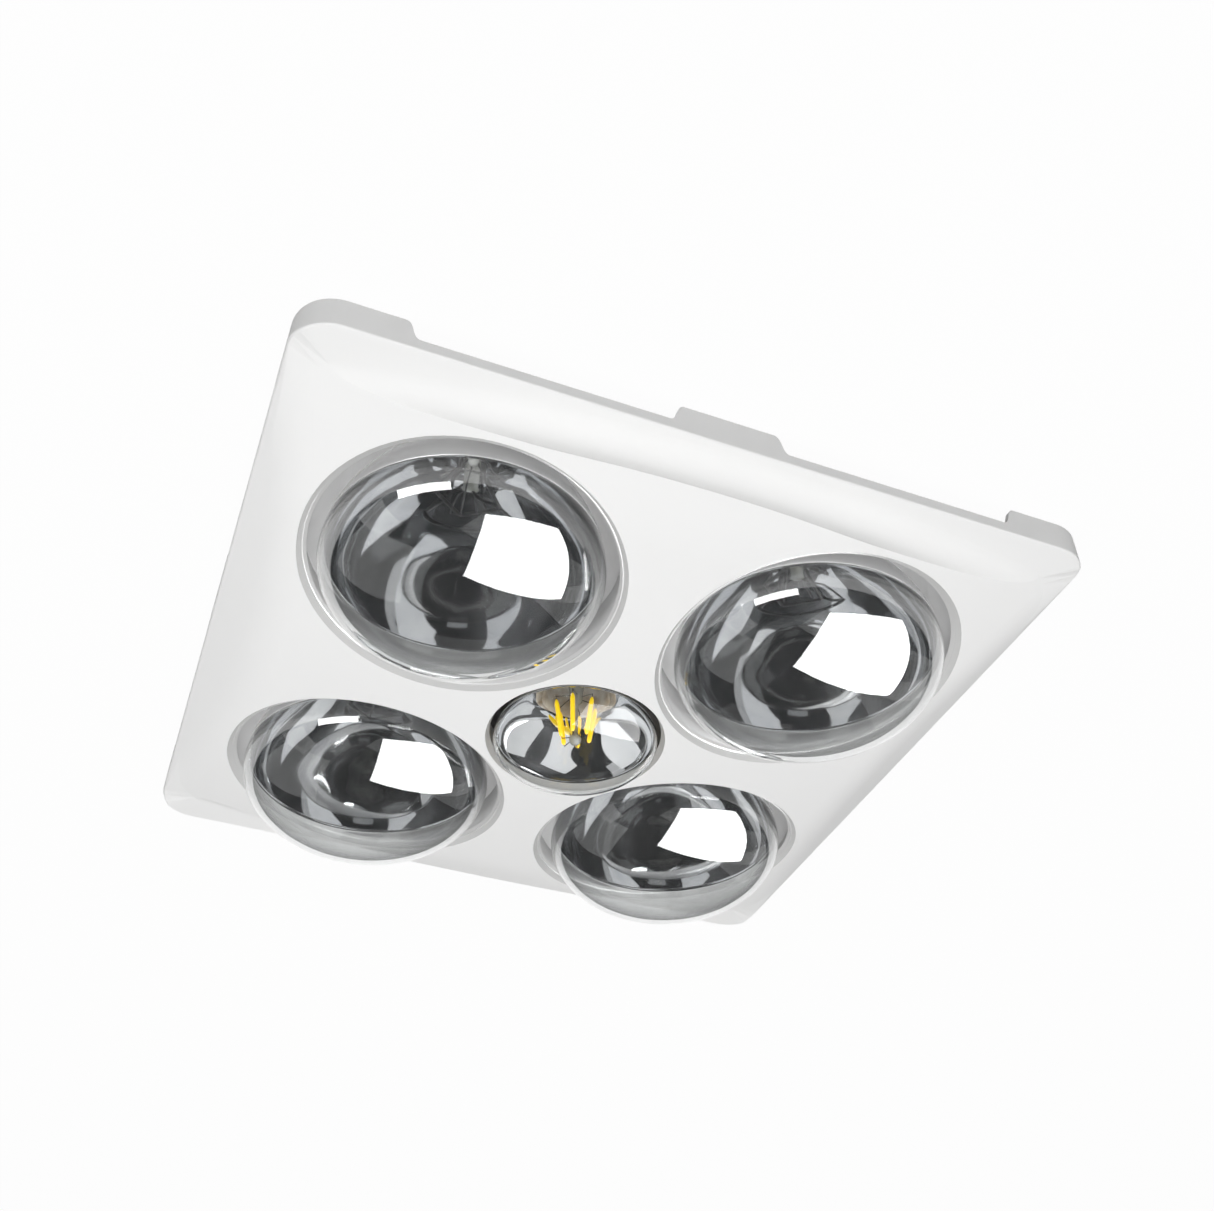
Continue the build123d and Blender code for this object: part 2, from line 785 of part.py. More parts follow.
light_place = (0, 0)
light_glass = bulb(
    light_place, light_lamp_radius, light_lamp_widest_z, light_lamp_front_height, light_neck_radius,
    light_cap_z, light_bulb_shares,
)
keep(light_glass, "light_lamp_glass")
keep(screw_cap(light_place, light_cap_z), "light_lamp_cap")
keep(lampholder(light_place, light_cap_z), "light_lampholder")

# The sticks lean in towards their feet
stick_top_z = stick_foot_z + stick_height
with BuildPart() as led_stick:
    for end_z, reach in ((stick_foot_z, stick_foot_reach), (stick_top_z, stick_top_reach)):
        with BuildSketch(Plane.XY.offset(end_z)):
            with Locations((reach, 0)):
                Circle(stick_radius)
    loft()
with BuildPart() as led_sticks:
    with PolarLocations(0, stick_count):
        add(led_stick.part)
keep(led_sticks.part, "light_lamp_led_sticks")

# The stem carries the sticks on a plate at their upper ends and has a bead at its tip
with BuildPart() as led_stem:
    with BuildSketch(Plane.XY.offset(stick_foot_z)):
        Circle(stem_radius - 2 * stick_radius)
    extrude(amount=stick_height)
    with Locations((0, 0, stick_foot_z)):
        Sphere(stem_tip_radius)
    with BuildSketch(Plane.XY.offset(stick_top_z)):
        Circle(stick_top_reach + 2 * stick_radius)
    extrude(amount=lead_width)
    with BuildSketch(Plane.XY.offset(stick_top_z)):
        Circle(stem_radius)
    extrude(amount=light_cap_z - glass_wall - stick_top_z)
keep(led_stem.part, "light_lamp_stem")

contacts = holder_contacts(light_place, light_cap_z)
for place in heat_places:
    contacts += holder_contacts(place, heat_cap_z)
keep(contacts, "lampholder_contacts")

# Bracket: a strap that carries the centre lampholder below the fan inlet
with BuildPart() as light_bracket:
    with BuildSketch(Plane.XZ.offset(-bracket_width / 2)):
        with BuildLine():
            Polyline(
                (0, light_back_z),
                (bracket_half_span, light_back_z),
                (bracket_half_span, housing_height - bracket_sheet),
                (bracket_half_span + bracket_sheet + bracket_foot, housing_height - bracket_sheet),
                (bracket_half_span + bracket_sheet + bracket_foot, housing_height),
                (bracket_half_span - bracket_sheet, housing_height),
                (bracket_half_span - bracket_sheet, light_back_z + bracket_sheet),
                (0, light_back_z + bracket_sheet),
                close=True,
            )
        make_face()
        mirror(about=Plane.YZ)
    extrude(amount=bracket_width)
    with BuildSketch(Plane.XY.offset(light_back_z)):
        with Locations(*holder_screws_of(light_place)):
            Circle(screw_hole_radius)
    extrude(amount=bracket_sheet, mode=Mode.SUBTRACT)
    with BuildSketch(Plane.XY.offset(housing_height)):
        with Locations(*bracket_places):
            Circle(screw_hole_radius)
    extrude(amount=-bracket_sheet, mode=Mode.SUBTRACT)
keep(light_bracket.part, "light_bracket")

lug_screw = lug_thickness + housing_sheet
lampholder_screws = screw_set(holder_places, housing_height - lug_thickness, lug_screw, head_up=False)
lampholder_screws += screw_set(
    bracket_places, housing_height - bracket_sheet, bracket_sheet + housing_sheet, head_up=False
)
lampholder_screws += screw_set(
    holder_screws_of(light_place), light_back_z - lug_thickness, lug_screw, head_up=False
)
keep(lampholder_screws, "lampholder_screws")


# Fan: scroll case, a floor with its inlet and the widening wall round it

def scroll_outline(inset):
    """Area inside the scroll's outer face, drawn in by inset, with the outlet open to +X."""
    step = (scroll_end_angle - tongue_angle) / (scroll_points - 1)
    curve = [
        at_angle(scroll_reach(tongue_angle + step * n) - inset, tongue_angle + step * n)
        for n in range(scroll_points)
    ]
    reach = outlet_end_x + overrun if inset else outlet_end_x
    tongue = [(curve[0][0] + inset, tongue_y - inset), curve[0]] if inset else [curve[0]]
    with BuildSketch(Plane.XY) as outline:
        with BuildLine():
            Spline(*curve)
            Polyline(curve[-1], (reach, curve[-1][1]), (reach, tongue_y - inset), *tongue)
        make_face()
    return outline.sketch


scroll_outer = scroll_outline(0)
scroll_inner = scroll_outline(scroll_wall)

with BuildPart() as scroll_case:
    add(scroll_outer.moved(Location((0, 0, plate_top_z))))
    extrude(amount=scroll_height)
    add(scroll_inner.moved(Location((0, 0, scroll_floor_z))))
    extrude(amount=scroll_height, mode=Mode.SUBTRACT)
    # Pillars round the outside for the long screws
    with BuildSketch(Plane.XY.offset(plate_top_z)):
        with Locations(*scroll_ears):
            Circle(scroll_ear_radius)
        add(scroll_inner, mode=Mode.SUBTRACT)
    extrude(amount=scroll_height)
    with BuildSketch(Plane.XY.offset(plate_top_z)):
        with Locations(*scroll_ears):
            Circle(screw_hole_radius)
    extrude(amount=scroll_height, mode=Mode.SUBTRACT)
    with BuildSketch(Plane.XY.offset(plate_top_z)):
        Circle(inlet_radius)
    extrude(amount=scroll_wall, mode=Mode.SUBTRACT)
    # Sill on the floor that the closed flap rests against
    with BuildSketch(Plane.XY.offset(scroll_floor_z)):
        with Locations((pin_x + flap_barrel_radius - flap_thickness - fit_gap, outlet_middle_y)):
            Rectangle(sill_width, outlet_width - scroll_wall, align=(Align.MAX, Align.CENTER))
    extrude(amount=sill_height)
    # Bores for the damper's pin in both walls of the outlet
    with BuildSketch(Plane.XZ.offset(scroll_end_radius + overrun)):
        with Locations((pin_x, pin_z)):
            Circle(pin_radius + running_gap)
    extrude(amount=-outlet_width - 2 * overrun, mode=Mode.SUBTRACT)
keep(scroll_case.part, "scroll_case")

motor_ear_places = [
    at_angle(motor_ear_reach, quarter_turn * (1 + 4 * n / motor_ear_count)) for n in range(motor_ear_count)
]

with BuildPart() as scroll_cover:
    add(scroll_outer.moved(Location((0, 0, cover_z))))
    extrude(amount=scroll_wall)
    with BuildSketch(Plane.XY.offset(cover_z)):
        with Locations(*scroll_ears):
            Circle(scroll_ear_radius)
    extrude(amount=scroll_wall)
    with BuildSketch(Plane.XY.offset(cover_z)):
        Circle(motor_boss_radius + cover_hole_gap)
        with Locations(*motor_ear_places):
            Circle(grommet_radius)
        with Locations(*scroll_ears):
            Circle(screw_hole_radius)
    extrude(amount=scroll_wall, mode=Mode.SUBTRACT)
keep(scroll_cover.part, "scroll_cover")


# Impeller: forward-curved blades between an open ring below and a back plate with its hub

with BuildPart() as impeller:
    with BuildSketch(Plane.XY.offset(impeller_z)):
        Circle(impeller_radius)
        Circle(impeller_eye_radius, mode=Mode.SUBTRACT)
    extrude(amount=impeller_ring)
    with BuildSketch(Plane.XY.offset(impeller_z + impeller_height - impeller_ring)):
        Circle(impeller_radius)
    extrude(amount=impeller_ring)
    with BuildSketch(Plane.XY.offset(impeller_z + impeller_ring)):
        with PolarLocations(0, blade_count):
            with BuildLine():
                inner = impeller_eye_radius + blade_thickness
                outer = impeller_radius - blade_thickness
                middle = (inner + outer) / 2
                lean = degrees(blade_thickness / impeller_radius)
                ThreePointArc(
                    at_angle(inner, 0), at_angle(middle, blade_mid_angle), at_angle(outer, blade_lead_angle)
                )
                Line(at_angle(outer, blade_lead_angle), at_angle(outer, blade_lead_angle + lean))
                ThreePointArc(
                    at_angle(outer, blade_lead_angle + lean),
                    at_angle(middle, blade_mid_angle + lean),
                    at_angle(inner, lean),
                )
                Line(at_angle(inner, lean), at_angle(inner, 0))
            make_face()
    extrude(amount=impeller_height - 2 * impeller_ring)
    with BuildSketch(Plane.XY.offset(impeller_z + impeller_height - hub_length)):
        Circle(hub_radius)
    extrude(amount=hub_length)
    with BuildSketch(Plane.XY.offset(impeller_z + impeller_height - hub_length)):
        Circle(shaft_radius + running_gap)
    extrude(amount=hub_length, mode=Mode.SUBTRACT)
keep(impeller.part, "impeller")


# Motor on three rubber grommets: two case halves round the stator, rotor, shaft and bearings

motor_split_z = motor_z + motor_lower_height
motor_top_z = motor_split_z + motor_upper_height
lower_bearing_z = motor_z - motor_boss_height + motor_wall
upper_bearing_z = motor_top_z + motor_boss_height - motor_wall - bearing_length

with BuildPart() as motor_lower_case:
    with BuildSketch(Plane.XY.offset(motor_z)):
        Circle(motor_radius)
    extrude(amount=motor_lower_height)
    with BuildSketch(Plane.XY.offset(motor_z)):
        with PolarLocations(0, motor_ear_count, start_angle=quarter_turn):
            with Locations((motor_ear_reach / 2, 0)):
                Rectangle(motor_ear_reach, 2 * motor_ear_radius)
        with Locations(*motor_ear_places):
            Circle(motor_ear_radius)
    extrude(amount=motor_wall)
    with BuildSketch(Plane.XY.offset(motor_z - motor_boss_height)):
        Circle(motor_boss_radius)
    extrude(amount=motor_boss_height)
    with BuildSketch(Plane.XY.offset(motor_z + motor_wall)):
        Circle(motor_radius - motor_wall)
    extrude(amount=motor_lower_height, mode=Mode.SUBTRACT)
    with BuildSketch(Plane.XY.offset(lower_bearing_z)):
        Circle(bearing_radius)
    extrude(amount=motor_boss_height + overrun, mode=Mode.SUBTRACT)
    with BuildSketch(Plane.XY.offset(motor_z - motor_boss_height)):
        Circle(shaft_radius + fit_gap)
        with Locations(*motor_ear_places):
            Circle(screw_hole_radius)
    extrude(amount=motor_boss_height + motor_wall, mode=Mode.SUBTRACT)
keep(motor_lower_case.part, "motor_lower_case")

with BuildPart() as motor_upper_case:
    with BuildSketch(Plane.XY.offset(motor_split_z)):
        Circle(motor_radius)
    extrude(amount=motor_upper_height)
    with BuildSketch(Plane.XY.offset(motor_top_z)):
        Circle(motor_boss_radius)
    extrude(amount=motor_boss_height)
    can_edges = motor_upper_case.edges().filter_by(GeomType.CIRCLE).group_by(SortBy.RADIUS)[-1]
    fillet(can_edges.sort_by(Axis.Z)[-1], radius=motor_wall)
    with BuildSketch(Plane.XY.offset(motor_split_z)):
        Circle(motor_radius - motor_wall)
    extrude(amount=motor_upper_height - motor_wall, mode=Mode.SUBTRACT)
    with BuildSketch(Plane.XY.offset(upper_bearing_z)):
        Circle(bearing_radius)
    extrude(amount=bearing_length, mode=Mode.SUBTRACT)
    # Air vents round the top
    with BuildSketch(Plane.XY.offset(motor_top_z - motor_wall)):
        with PolarLocations((motor_radius + motor_boss_radius) / 2, motor_vents):
            SlotOverall(motor_vent_length, motor_vent_width)
    extrude(amount=motor_wall, mode=Mode.SUBTRACT)
keep(motor_upper_case.part, "motor_upper_case")

with BuildPart() as motor_bearings:
    for bearing_z in (lower_bearing_z, upper_bearing_z):
        with BuildSketch(Plane.XY.offset(bearing_z)):
            Circle(bearing_radius)
            Circle(shaft_radius + running_gap, mode=Mode.SUBTRACT)
        extrude(amount=bearing_length)
keep(motor_bearings.part, "motor_bearings")

stator_z = (motor_z + motor_top_z - stator_height) / 2
with BuildPart() as motor_stator:
    with BuildSketch(Plane.XY.offset(stator_z)):
        Circle(motor_radius - motor_wall)
        Circle(rotor_radius + rotor_gap, mode=Mode.SUBTRACT)
        with PolarLocations(stator_window_reach, stator_window_count):
            Circle(stator_window_radius, mode=Mode.SUBTRACT)
    extrude(amount=stator_height)
keep(motor_stator.part, "motor_stator")

with BuildPart() as motor_rotor:
    with BuildSketch(Plane.XY.offset((motor_z + motor_top_z - rotor_height) / 2)):
        Circle(rotor_radius)
        Circle(shaft_radius, mode=Mode.SUBTRACT)
    extrude(amount=rotor_height)
keep(motor_rotor.part, "motor_rotor")

shaft_bottom_z = impeller_z + impeller_height - hub_length - shaft_tail
with BuildPart() as motor_shaft:
    with BuildSketch(Plane.XY.offset(shaft_bottom_z)):
        Circle(shaft_radius)
    extrude(amount=upper_bearing_z + bearing_length - fit_gap - shaft_bottom_z)
    chamfer(motor_shaft.edges().group_by(Axis.Z)[0], length=fit_gap)
keep(motor_shaft.part, "motor_shaft")

# Grommets: each sits in the cover's hole, with a flange below the motor's ear
with BuildPart() as motor_grommets:
    for place in motor_ear_places:
        with BuildSketch(Plane.XY.offset(cover_z)):
            with Locations(place):
                Circle(grommet_radius)
                Circle(screw_hole_radius, mode=Mode.SUBTRACT)
        extrude(amount=scroll_wall)
        with BuildSketch(Plane.XY.offset(cover_top_z)):
            with Locations(place):
                Circle(grommet_radius + grommet_flange)
                Circle(screw_hole_radius, mode=Mode.SUBTRACT)
        extrude(amount=motor_stand_off)
keep(motor_grommets.part, "motor_grommets")
keep(screw_set(motor_ear_places, motor_z + motor_wall, motor_stand_off + scroll_wall), "motor_screws")
scroll_screws = screw_set(scroll_ears, cover_top_z, scroll_wall + scroll_height + housing_sheet)
keep(scroll_screws, "scroll_screws")


# Outlet adaptor: from the scroll's oblong mouth to a round duct spigot

mouth_plane = Plane(
    origin=(outlet_end_x, outlet_middle_y, outlet_middle_z), x_dir=(0, 1, 0), z_dir=(1, 0, 0)
)
spigot_plane = mouth_plane.offset(adaptor_flange + adaptor_length)
mouth_width = outlet_width - 2 * scroll_wall
mouth_height = scroll_height - scroll_wall

with BuildPart() as outlet_adaptor:
    with BuildSketch(mouth_plane):
        Rectangle(mouth_width + 2 * adaptor_flange_rim, mouth_height + 2 * adaptor_flange_rim)
    extrude(amount=adaptor_flange)
    for inset, mode in ((0, Mode.ADD), (spigot_wall, Mode.SUBTRACT)):
        with BuildSketch(mouth_plane.offset(adaptor_flange)):
            RectangleRounded(
                mouth_width + 2 * (spigot_wall - inset),
                mouth_height + 2 * (spigot_wall - inset),
                2 * spigot_wall - inset,
            )
        with BuildSketch(spigot_plane):
            Circle(spigot_radius - inset)
        loft(mode=mode)
        with BuildSketch(spigot_plane):
            Circle(spigot_radius - inset)
        extrude(amount=spigot_length, mode=mode)
    with BuildSketch(mouth_plane):
        RectangleRounded(mouth_width, mouth_height, spigot_wall)
    extrude(amount=adaptor_flange, mode=Mode.SUBTRACT)
keep(outlet_adaptor.part, "outlet_adaptor")


# Damper: a flap that hangs from its pin across the outlet and lifts in the air stream

with BuildPart() as damper_pin:
    with BuildSketch(Plane.XZ.offset(scroll_end_radius)):
        with Locations((pin_x, pin_z)):
            Circle(pin_radius)
    extrude(amount=-outlet_width)
keep(damper_pin.part, "damper_pin")

flap_width = mouth_width - 2 * flap_side_gap
flap_bottom_z = scroll_floor_z + flap_side_gap
with BuildPart() as damper_flap:
    with BuildSketch(Plane.XZ.offset(scroll_end_radius - scroll_wall - flap_side_gap)):
        with Locations((pin_x, pin_z)):
            Circle(flap_barrel_radius)
        with Locations((pin_x + flap_barrel_radius - flap_thickness / 2, (pin_z + flap_bottom_z) / 2)):
            Rectangle(flap_thickness, pin_z - flap_bottom_z)
        with Locations((pin_x, pin_z)):
            Circle(pin_radius + running_gap, mode=Mode.SUBTRACT)
    extrude(amount=-flap_width)
keep(damper_flap.part, "damper_flap")


# Electrical parts on the top plate

lid_z = plate_top_z + terminal_height
with BuildPart() as terminal_box:
    with BuildSketch(Plane.XY.offset(plate_top_z)):
        with Locations((terminal_x, terminal_y)):
            RectangleRounded(terminal_length, terminal_width, terminal_wall)
    extrude(amount=terminal_height)
    with BuildSketch(Plane.XY.offset(plate_top_z + terminal_wall)):
        with Locations((terminal_x, terminal_y)):
            Rectangle(terminal_length - 2 * terminal_wall, terminal_width - 2 * terminal_wall)
    extrude(amount=terminal_height, mode=Mode.SUBTRACT)
    with BuildSketch(Plane.XY.offset(plate_top_z)):
        with Locations(*terminal_places):
            Circle(screw_hole_radius)
        with Locations((wire_hole_x, terminal_y)):
            Circle(wire_hole_radius)
    extrude(amount=terminal_wall, mode=Mode.SUBTRACT)
    # Hole for the cable gland in the left-hand wall
    with BuildSketch(Plane.YZ.offset(terminal_x - terminal_length / 2)):
        with Locations((terminal_y, gland_z)):
            Circle(gland_radius - gland_step)
    extrude(amount=terminal_wall, mode=Mode.SUBTRACT)
keep(terminal_box.part, "terminal_box")

with BuildPart() as terminal_lid:
    with BuildSketch(Plane.XY.offset(lid_z)):
        with Locations((terminal_x, terminal_y)):
            RectangleRounded(terminal_length, terminal_width, terminal_wall)
    extrude(amount=terminal_lid_wall)
    with BuildSketch(Plane.XY.offset(lid_z)):
        with Locations((terminal_x, terminal_y)):
            lid_length = terminal_length - 2 * (terminal_wall + fit_gap)
            lid_width = terminal_width - 2 * (terminal_wall + fit_gap)
            Rectangle(lid_length, lid_width)
            Rectangle(lid_length - 2 * terminal_wall, lid_width - 2 * terminal_wall, mode=Mode.SUBTRACT)
    extrude(amount=-terminal_lid_wall)
    fillet(terminal_lid.edges().group_by(Axis.Z)[-1], radius=terminal_wall / 2)
keep(terminal_lid.part, "terminal_lid")

block_x = terminal_x + (terminal_length - block_length) / 2 - 2 * terminal_wall
block_z = plate_top_z + terminal_wall + screw_head_height
with BuildPart() as terminal_block:
    with BuildSketch(Plane.XY.offset(block_z)):
        with Locations((block_x, terminal_y)):
            Rectangle(block_length, block_width)
    extrude(amount=block_height)
    with BuildSketch(Plane.XY.offset(block_z + block_height)):
        with Locations((block_x, terminal_y)):
            with GridLocations(block_length / block_ways, block_width / 2, block_ways, 2):
                Circle(block_screw_radius)
    extrude(amount=-block_screw_depth, mode=Mode.SUBTRACT)
keep(terminal_block.part, "terminal_block")

# Cable gland: a threaded neck through the wall, a nut outside and its rounded cap
gland_plane = Plane(
    origin=(terminal_x - terminal_length / 2, terminal_y, gland_z), x_dir=(0, 1, 0), z_dir=(-1, 0, 0)
)
with BuildPart() as cable_gland:
    with BuildSketch(gland_plane.offset(-terminal_wall - gland_step)):
        Circle(gland_radius - gland_step - running_gap)
    extrude(amount=terminal_wall + gland_step)
    with BuildSketch(gland_plane):
        RegularPolygon(gland_radius, 6)
    extrude(amount=gland_nut_height)
    with BuildSketch(gland_plane.offset(gland_nut_height)):
        Circle(gland_radius - gland_step / 2)
    extrude(amount=gland_length - gland_nut_height)
    fillet(cable_gland.edges().group_by(Axis.X)[0], radius=gland_step)
    with BuildSketch(gland_plane.offset(-terminal_wall - gland_step)):
        Circle(gland_bore_radius)
    extrude(amount=terminal_wall + gland_step + gland_length, mode=Mode.SUBTRACT)
keep(cable_gland.part, "cable_gland")

# Rubber grommet in the wire hole of the plate and the box's floor
with BuildPart() as wire_grommet:
    with BuildSketch(Plane.XY.offset(housing_height - grommet_wall)):
        with Locations((wire_hole_x, terminal_y)):
            Circle(wire_hole_radius + grommet_wall)
    extrude(amount=grommet_wall)
    with BuildSketch(Plane.XY.offset(housing_height)):
        with Locations((wire_hole_x, terminal_y)):
            Circle(wire_hole_radius - running_gap)
    extrude(amount=housing_sheet + terminal_wall + grommet_wall)
    with BuildSketch(Plane.XY.offset(housing_height - grommet_wall)):
        with Locations((wire_hole_x, terminal_y)):
            Circle(wire_hole_radius - grommet_wall)
    extrude(amount=2 * grommet_wall + housing_sheet + terminal_wall, mode=Mode.SUBTRACT)
keep(wire_grommet.part, "wire_grommet")

terminal_screws = screw_set(terminal_places, plate_top_z + terminal_wall, short_screw)
keep(terminal_screws, "terminal_screws")

# Run capacitor, lying on the top plate in its moulded saddle
capacitor_z = plate_top_z + capacitor_radius
with BuildPart() as capacitor:
    with BuildSketch(Plane.YZ.offset(capacitor_x)):
        with Locations((terminal_y, capacitor_z)):
            Circle(capacitor_radius)
    extrude(amount=capacitor_length)
    fillet(capacitor.edges().group_by(Axis.X)[-1], radius=terminal_wall)
    with BuildSketch(Plane.XY.offset(plate_top_z)):
        with Locations((capacitor_x + capacitor_length / 2, terminal_y)):
            Rectangle(capacitor_length / 2, 2 * capacitor_radius)
    extrude(amount=capacitor_saddle_height)
keep(capacitor.part, "capacitor")

# Thermal cut-out below the top plate
with BuildPart() as thermal_cutout:
    with BuildSketch(Plane.XY.offset(housing_height - cutout_height)):
        with Locations((0, cutout_y)):
            Circle(cutout_radius)
    extrude(amount=cutout_height)
    with BuildSketch(Plane.XY.offset(housing_height - housing_sheet)):
        with Locations((0, cutout_y)):
            SlotOverall(4 * cutout_radius, cutout_radius)
    extrude(amount=housing_sheet)
keep(thermal_cutout.part, "thermal_cutout")
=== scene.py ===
import json
from math import cos, pi, radians, sin, sqrt, tan, tau

import bpy
from mathutils import Matrix, Vector


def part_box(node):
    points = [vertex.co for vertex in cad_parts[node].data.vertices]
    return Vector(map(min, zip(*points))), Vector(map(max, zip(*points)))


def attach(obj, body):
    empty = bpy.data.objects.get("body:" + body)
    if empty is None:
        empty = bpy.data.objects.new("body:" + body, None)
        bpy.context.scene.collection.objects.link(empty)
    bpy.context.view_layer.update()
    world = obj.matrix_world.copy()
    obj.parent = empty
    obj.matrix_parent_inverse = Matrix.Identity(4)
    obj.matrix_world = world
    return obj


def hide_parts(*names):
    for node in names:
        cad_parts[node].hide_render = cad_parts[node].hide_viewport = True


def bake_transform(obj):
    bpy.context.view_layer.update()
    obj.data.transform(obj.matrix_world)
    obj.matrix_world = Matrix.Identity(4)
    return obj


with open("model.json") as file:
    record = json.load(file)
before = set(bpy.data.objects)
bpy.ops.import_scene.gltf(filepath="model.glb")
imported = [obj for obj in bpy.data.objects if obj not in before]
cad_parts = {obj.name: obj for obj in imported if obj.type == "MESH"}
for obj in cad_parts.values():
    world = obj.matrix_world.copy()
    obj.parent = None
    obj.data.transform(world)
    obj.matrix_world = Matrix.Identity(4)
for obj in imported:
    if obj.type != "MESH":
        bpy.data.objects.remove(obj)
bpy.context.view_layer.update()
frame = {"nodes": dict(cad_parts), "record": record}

# Looks and stage of a ceiling heater with exhaust fan and light, in metres.
# +Z points up into the ceiling void and the ceiling's underside is at zero height.

MM = 0.001
CORNERS = ("front_left", "front_right", "rear_left", "rear_right")
SIDES = ("right", "rear", "left", "front")

# The camera that was fitted to the square panel in the photograph
CAMERA_PLACE = (-0.18484, -0.51185, -0.44086)
CAMERA_RIGHT = (0.92944, -0.36896, 0.00384)
CAMERA_DOWN = (0.24896, 0.61939, -0.74456)
SENSOR_WIDTH = 36.0
LENS = 40.90
CLIP_START = 0.01

# Front panel. Past the foot of a side slope, the points below EDGE_TOP_Z are lifted onto the slope.
# A lip lies between two radii of its opening, and its faces look inwards and down; they are painted a
# darker white, as shade.
DOME_RADIUS = 978.3 * MM
DOME_CENTRE_Z = 935.6 * MM
SLOPE_FOOT = 176.0 * MM
SLOPE_RISE = tan(radians(35.0))
EDGE_TOP_Z = -14.65 * MM
LAMP_REACH = 84.0 * MM
LIP_DEPTH = 3.8 * MM
LIP_EDGE = 0.2 * MM
LIP_FACING = -0.4
LIP_DOWNWARD = -0.2
HEAT_LIP = (68.2 * MM, 72.1 * MM)
LIGHT_LIP = (41.9 * MM, 43.8 * MM)
OPENINGS = [(a * LAMP_REACH, b * LAMP_REACH, *HEAT_LIP) for a in (-1, 1) for b in (-1, 1)]
OPENINGS.append((0.0, 0.0, *LIGHT_LIP))

# Bulbs. The shares are of the height from a bulb's widest ring to its cap: belly, shoulder, neck.
# The clear band is how far above the widest ring the mirror starts.
GLASS_WALL = 1.0 * MM
CAP_RADIUS = 13.1 * MM
HEAT_FRONT_HEIGHT = 35.4 * MM
HEAT_NECK_RADIUS = 18.0 * MM
HEAT_SHARES = (0.28, 0.42, 0.16)
HEAT_CLEAR_BAND = 5.5 * MM
LIGHT_FRONT_HEIGHT = 16.2 * MM
LIGHT_NECK_RADIUS = 17.0 * MM
LIGHT_SHARES = (0.17, 0.76, 0.52)
LIGHT_CLEAR_BAND = 3.0 * MM
LIGHT_WAX_Z = -15.0 * MM
FLARE_SHARES = (0.07, 0.08)
FRONT_STEPS = 40
SHOULDER_STEPS = 80
FLARE_STEPS = 10
LATHE_STEPS = 128
STEM_STEPS = 32
ON_AXIS = 0.0001 * MM

# Filament of a heat lamp: a coiled wire between the feet of thin struts, fed by two stout leads
STRUT_COUNT = 5
STRUT_RADIUS = 0.45 * MM
STRUT_TOP_REACH = 1.5 * MM
KNEE_SHARE = 0.55
KNEE_DROP = 9.0 * MM
LEAD_RADIUS = 0.9 * MM
LEAD_TURN = 0.3
FILAMENT_INSET = 0.6 * MM
FILAMENT_LIFT = 0.8 * MM
FILAMENT_DROP = 24.0 * MM
COIL_RADIUS = 0.8 * MM
COIL_WIRE_RADIUS = 0.2 * MM
COIL_TURNS = 22
COIL_TURN_STEPS = 10

# Light-emitting sticks of the centre lamp: (reach, height) of their ends, and (share of the length
# from the foot, share of the full width) where they taper
STICK_COUNT = 6
STICK_RADIUS = 1.15 * MM
STICK_SIDES = 16
STICK_TOP = (10.5 * MM, -19.0 * MM)
STICK_FOOT = (7.0 * MM, -41.0 * MM)
STICK_TAPER = ((0.0, 0.25), (0.03, 0.7), (0.08, 1.0), (0.86, 1.0), (0.94, 0.75), (1.0, 0.25))
STICK_WIRE_RADIUS = 0.22 * MM
STICK_WIRE_TURN = 0.35
BEAD_RADIUS = 3.0 * MM
BEAD_STEPS = 12
PRONG_COUNT = 4
PRONG_RADIUS = 0.25 * MM

# Reflectors
REFLECTOR_SHEET = 0.8 * MM
SKIRT_DRAW = 0.6 * MM
SKIRT_GAP = 1.0 * MM

# Springs
SPRING_RADIUS = 4.5 * MM
WIRE_RADIUS = 0.6 * MM
HOOK_RADIUS = 3.5 * MM
HOOK_BEND = 1.1 * pi
HOOK_STEPS = 16
COIL_PITCH = 1.24 * MM
COIL_STEPS = 20

# Ceiling and fill light
CEILING_HALF = 3.0
CEILING_PAINT = (0.6, 0.6, 0.6)
CEILING_GLOW = 0.97
FILL_LIGHT = 0.15

# Dark room that is seen in the lamps, with two pale strips on its wall
FLOOR_Z = -2.6
FLOOR_RADIUS = 6.0
FLOOR_SHADE = 0.04
FLOOR_STEPS = 64
WALL_STEPS = 24
WALLS = (
    # name, radius, lowest and highest z, first and last bearing in degrees, brightness
    ("dark_wall", 2.4, -2.7, -0.002, 0.0, 360.0, 0.035),
    ("left_strip", 2.3, -2.2, -0.2, 176.0, 196.0, 0.55),
    ("right_strip", 2.3, -2.2, -0.2, 10.0, 22.0, 0.5),
)

# Cards that shine on the outside of glass, and cards that show in the mirrors behind it
GLASS_CARDS = (
    # name, direction, distance, width, height, brightness, roll
    ("square_card", (0.50, -0.30, -0.80), 1.5, 1.8, 1.8, 15.0, 0.6),
    ("small_card", (-0.6, -0.6, -0.12), 1.4, 0.85, 0.35, 15.0, 0.0),
)
MIRROR_CARDS = (
    ("grey_card", (-0.7, 0.35, -0.6), 1.7, 1.3, 1.5, 0.95, 0.3),
    ("near_card", (0.15, -0.60, -0.95), 1.1, 0.7, 0.5, 0.85, 0.2),
    ("right_card", (0.85, 0.15, -0.45), 1.8, 1.3, 1.5, 0.75, 0.5),
    ("far_card", (0.15, 0.85, -0.50), 1.8, 0.9, 0.6, 0.35, 0.0),
)

# Soft lights
SOFTBOXES = (
    # name, place, target, side, brightness
    ("key_light", (-0.25, -0.3, -2.0), (0.0, 0.0, 0.0), 1.5, 4.1),
    ("side_light", (-0.30, -1.20, -1.00), (0.0, 0.0, 0.0), 1.0, 2.2),
    ("top_light", (0.5, -0.9, 1.9), (0.0, 0.0, 0.1), 1.4, 4.0),
)


# Materials

looks = {}


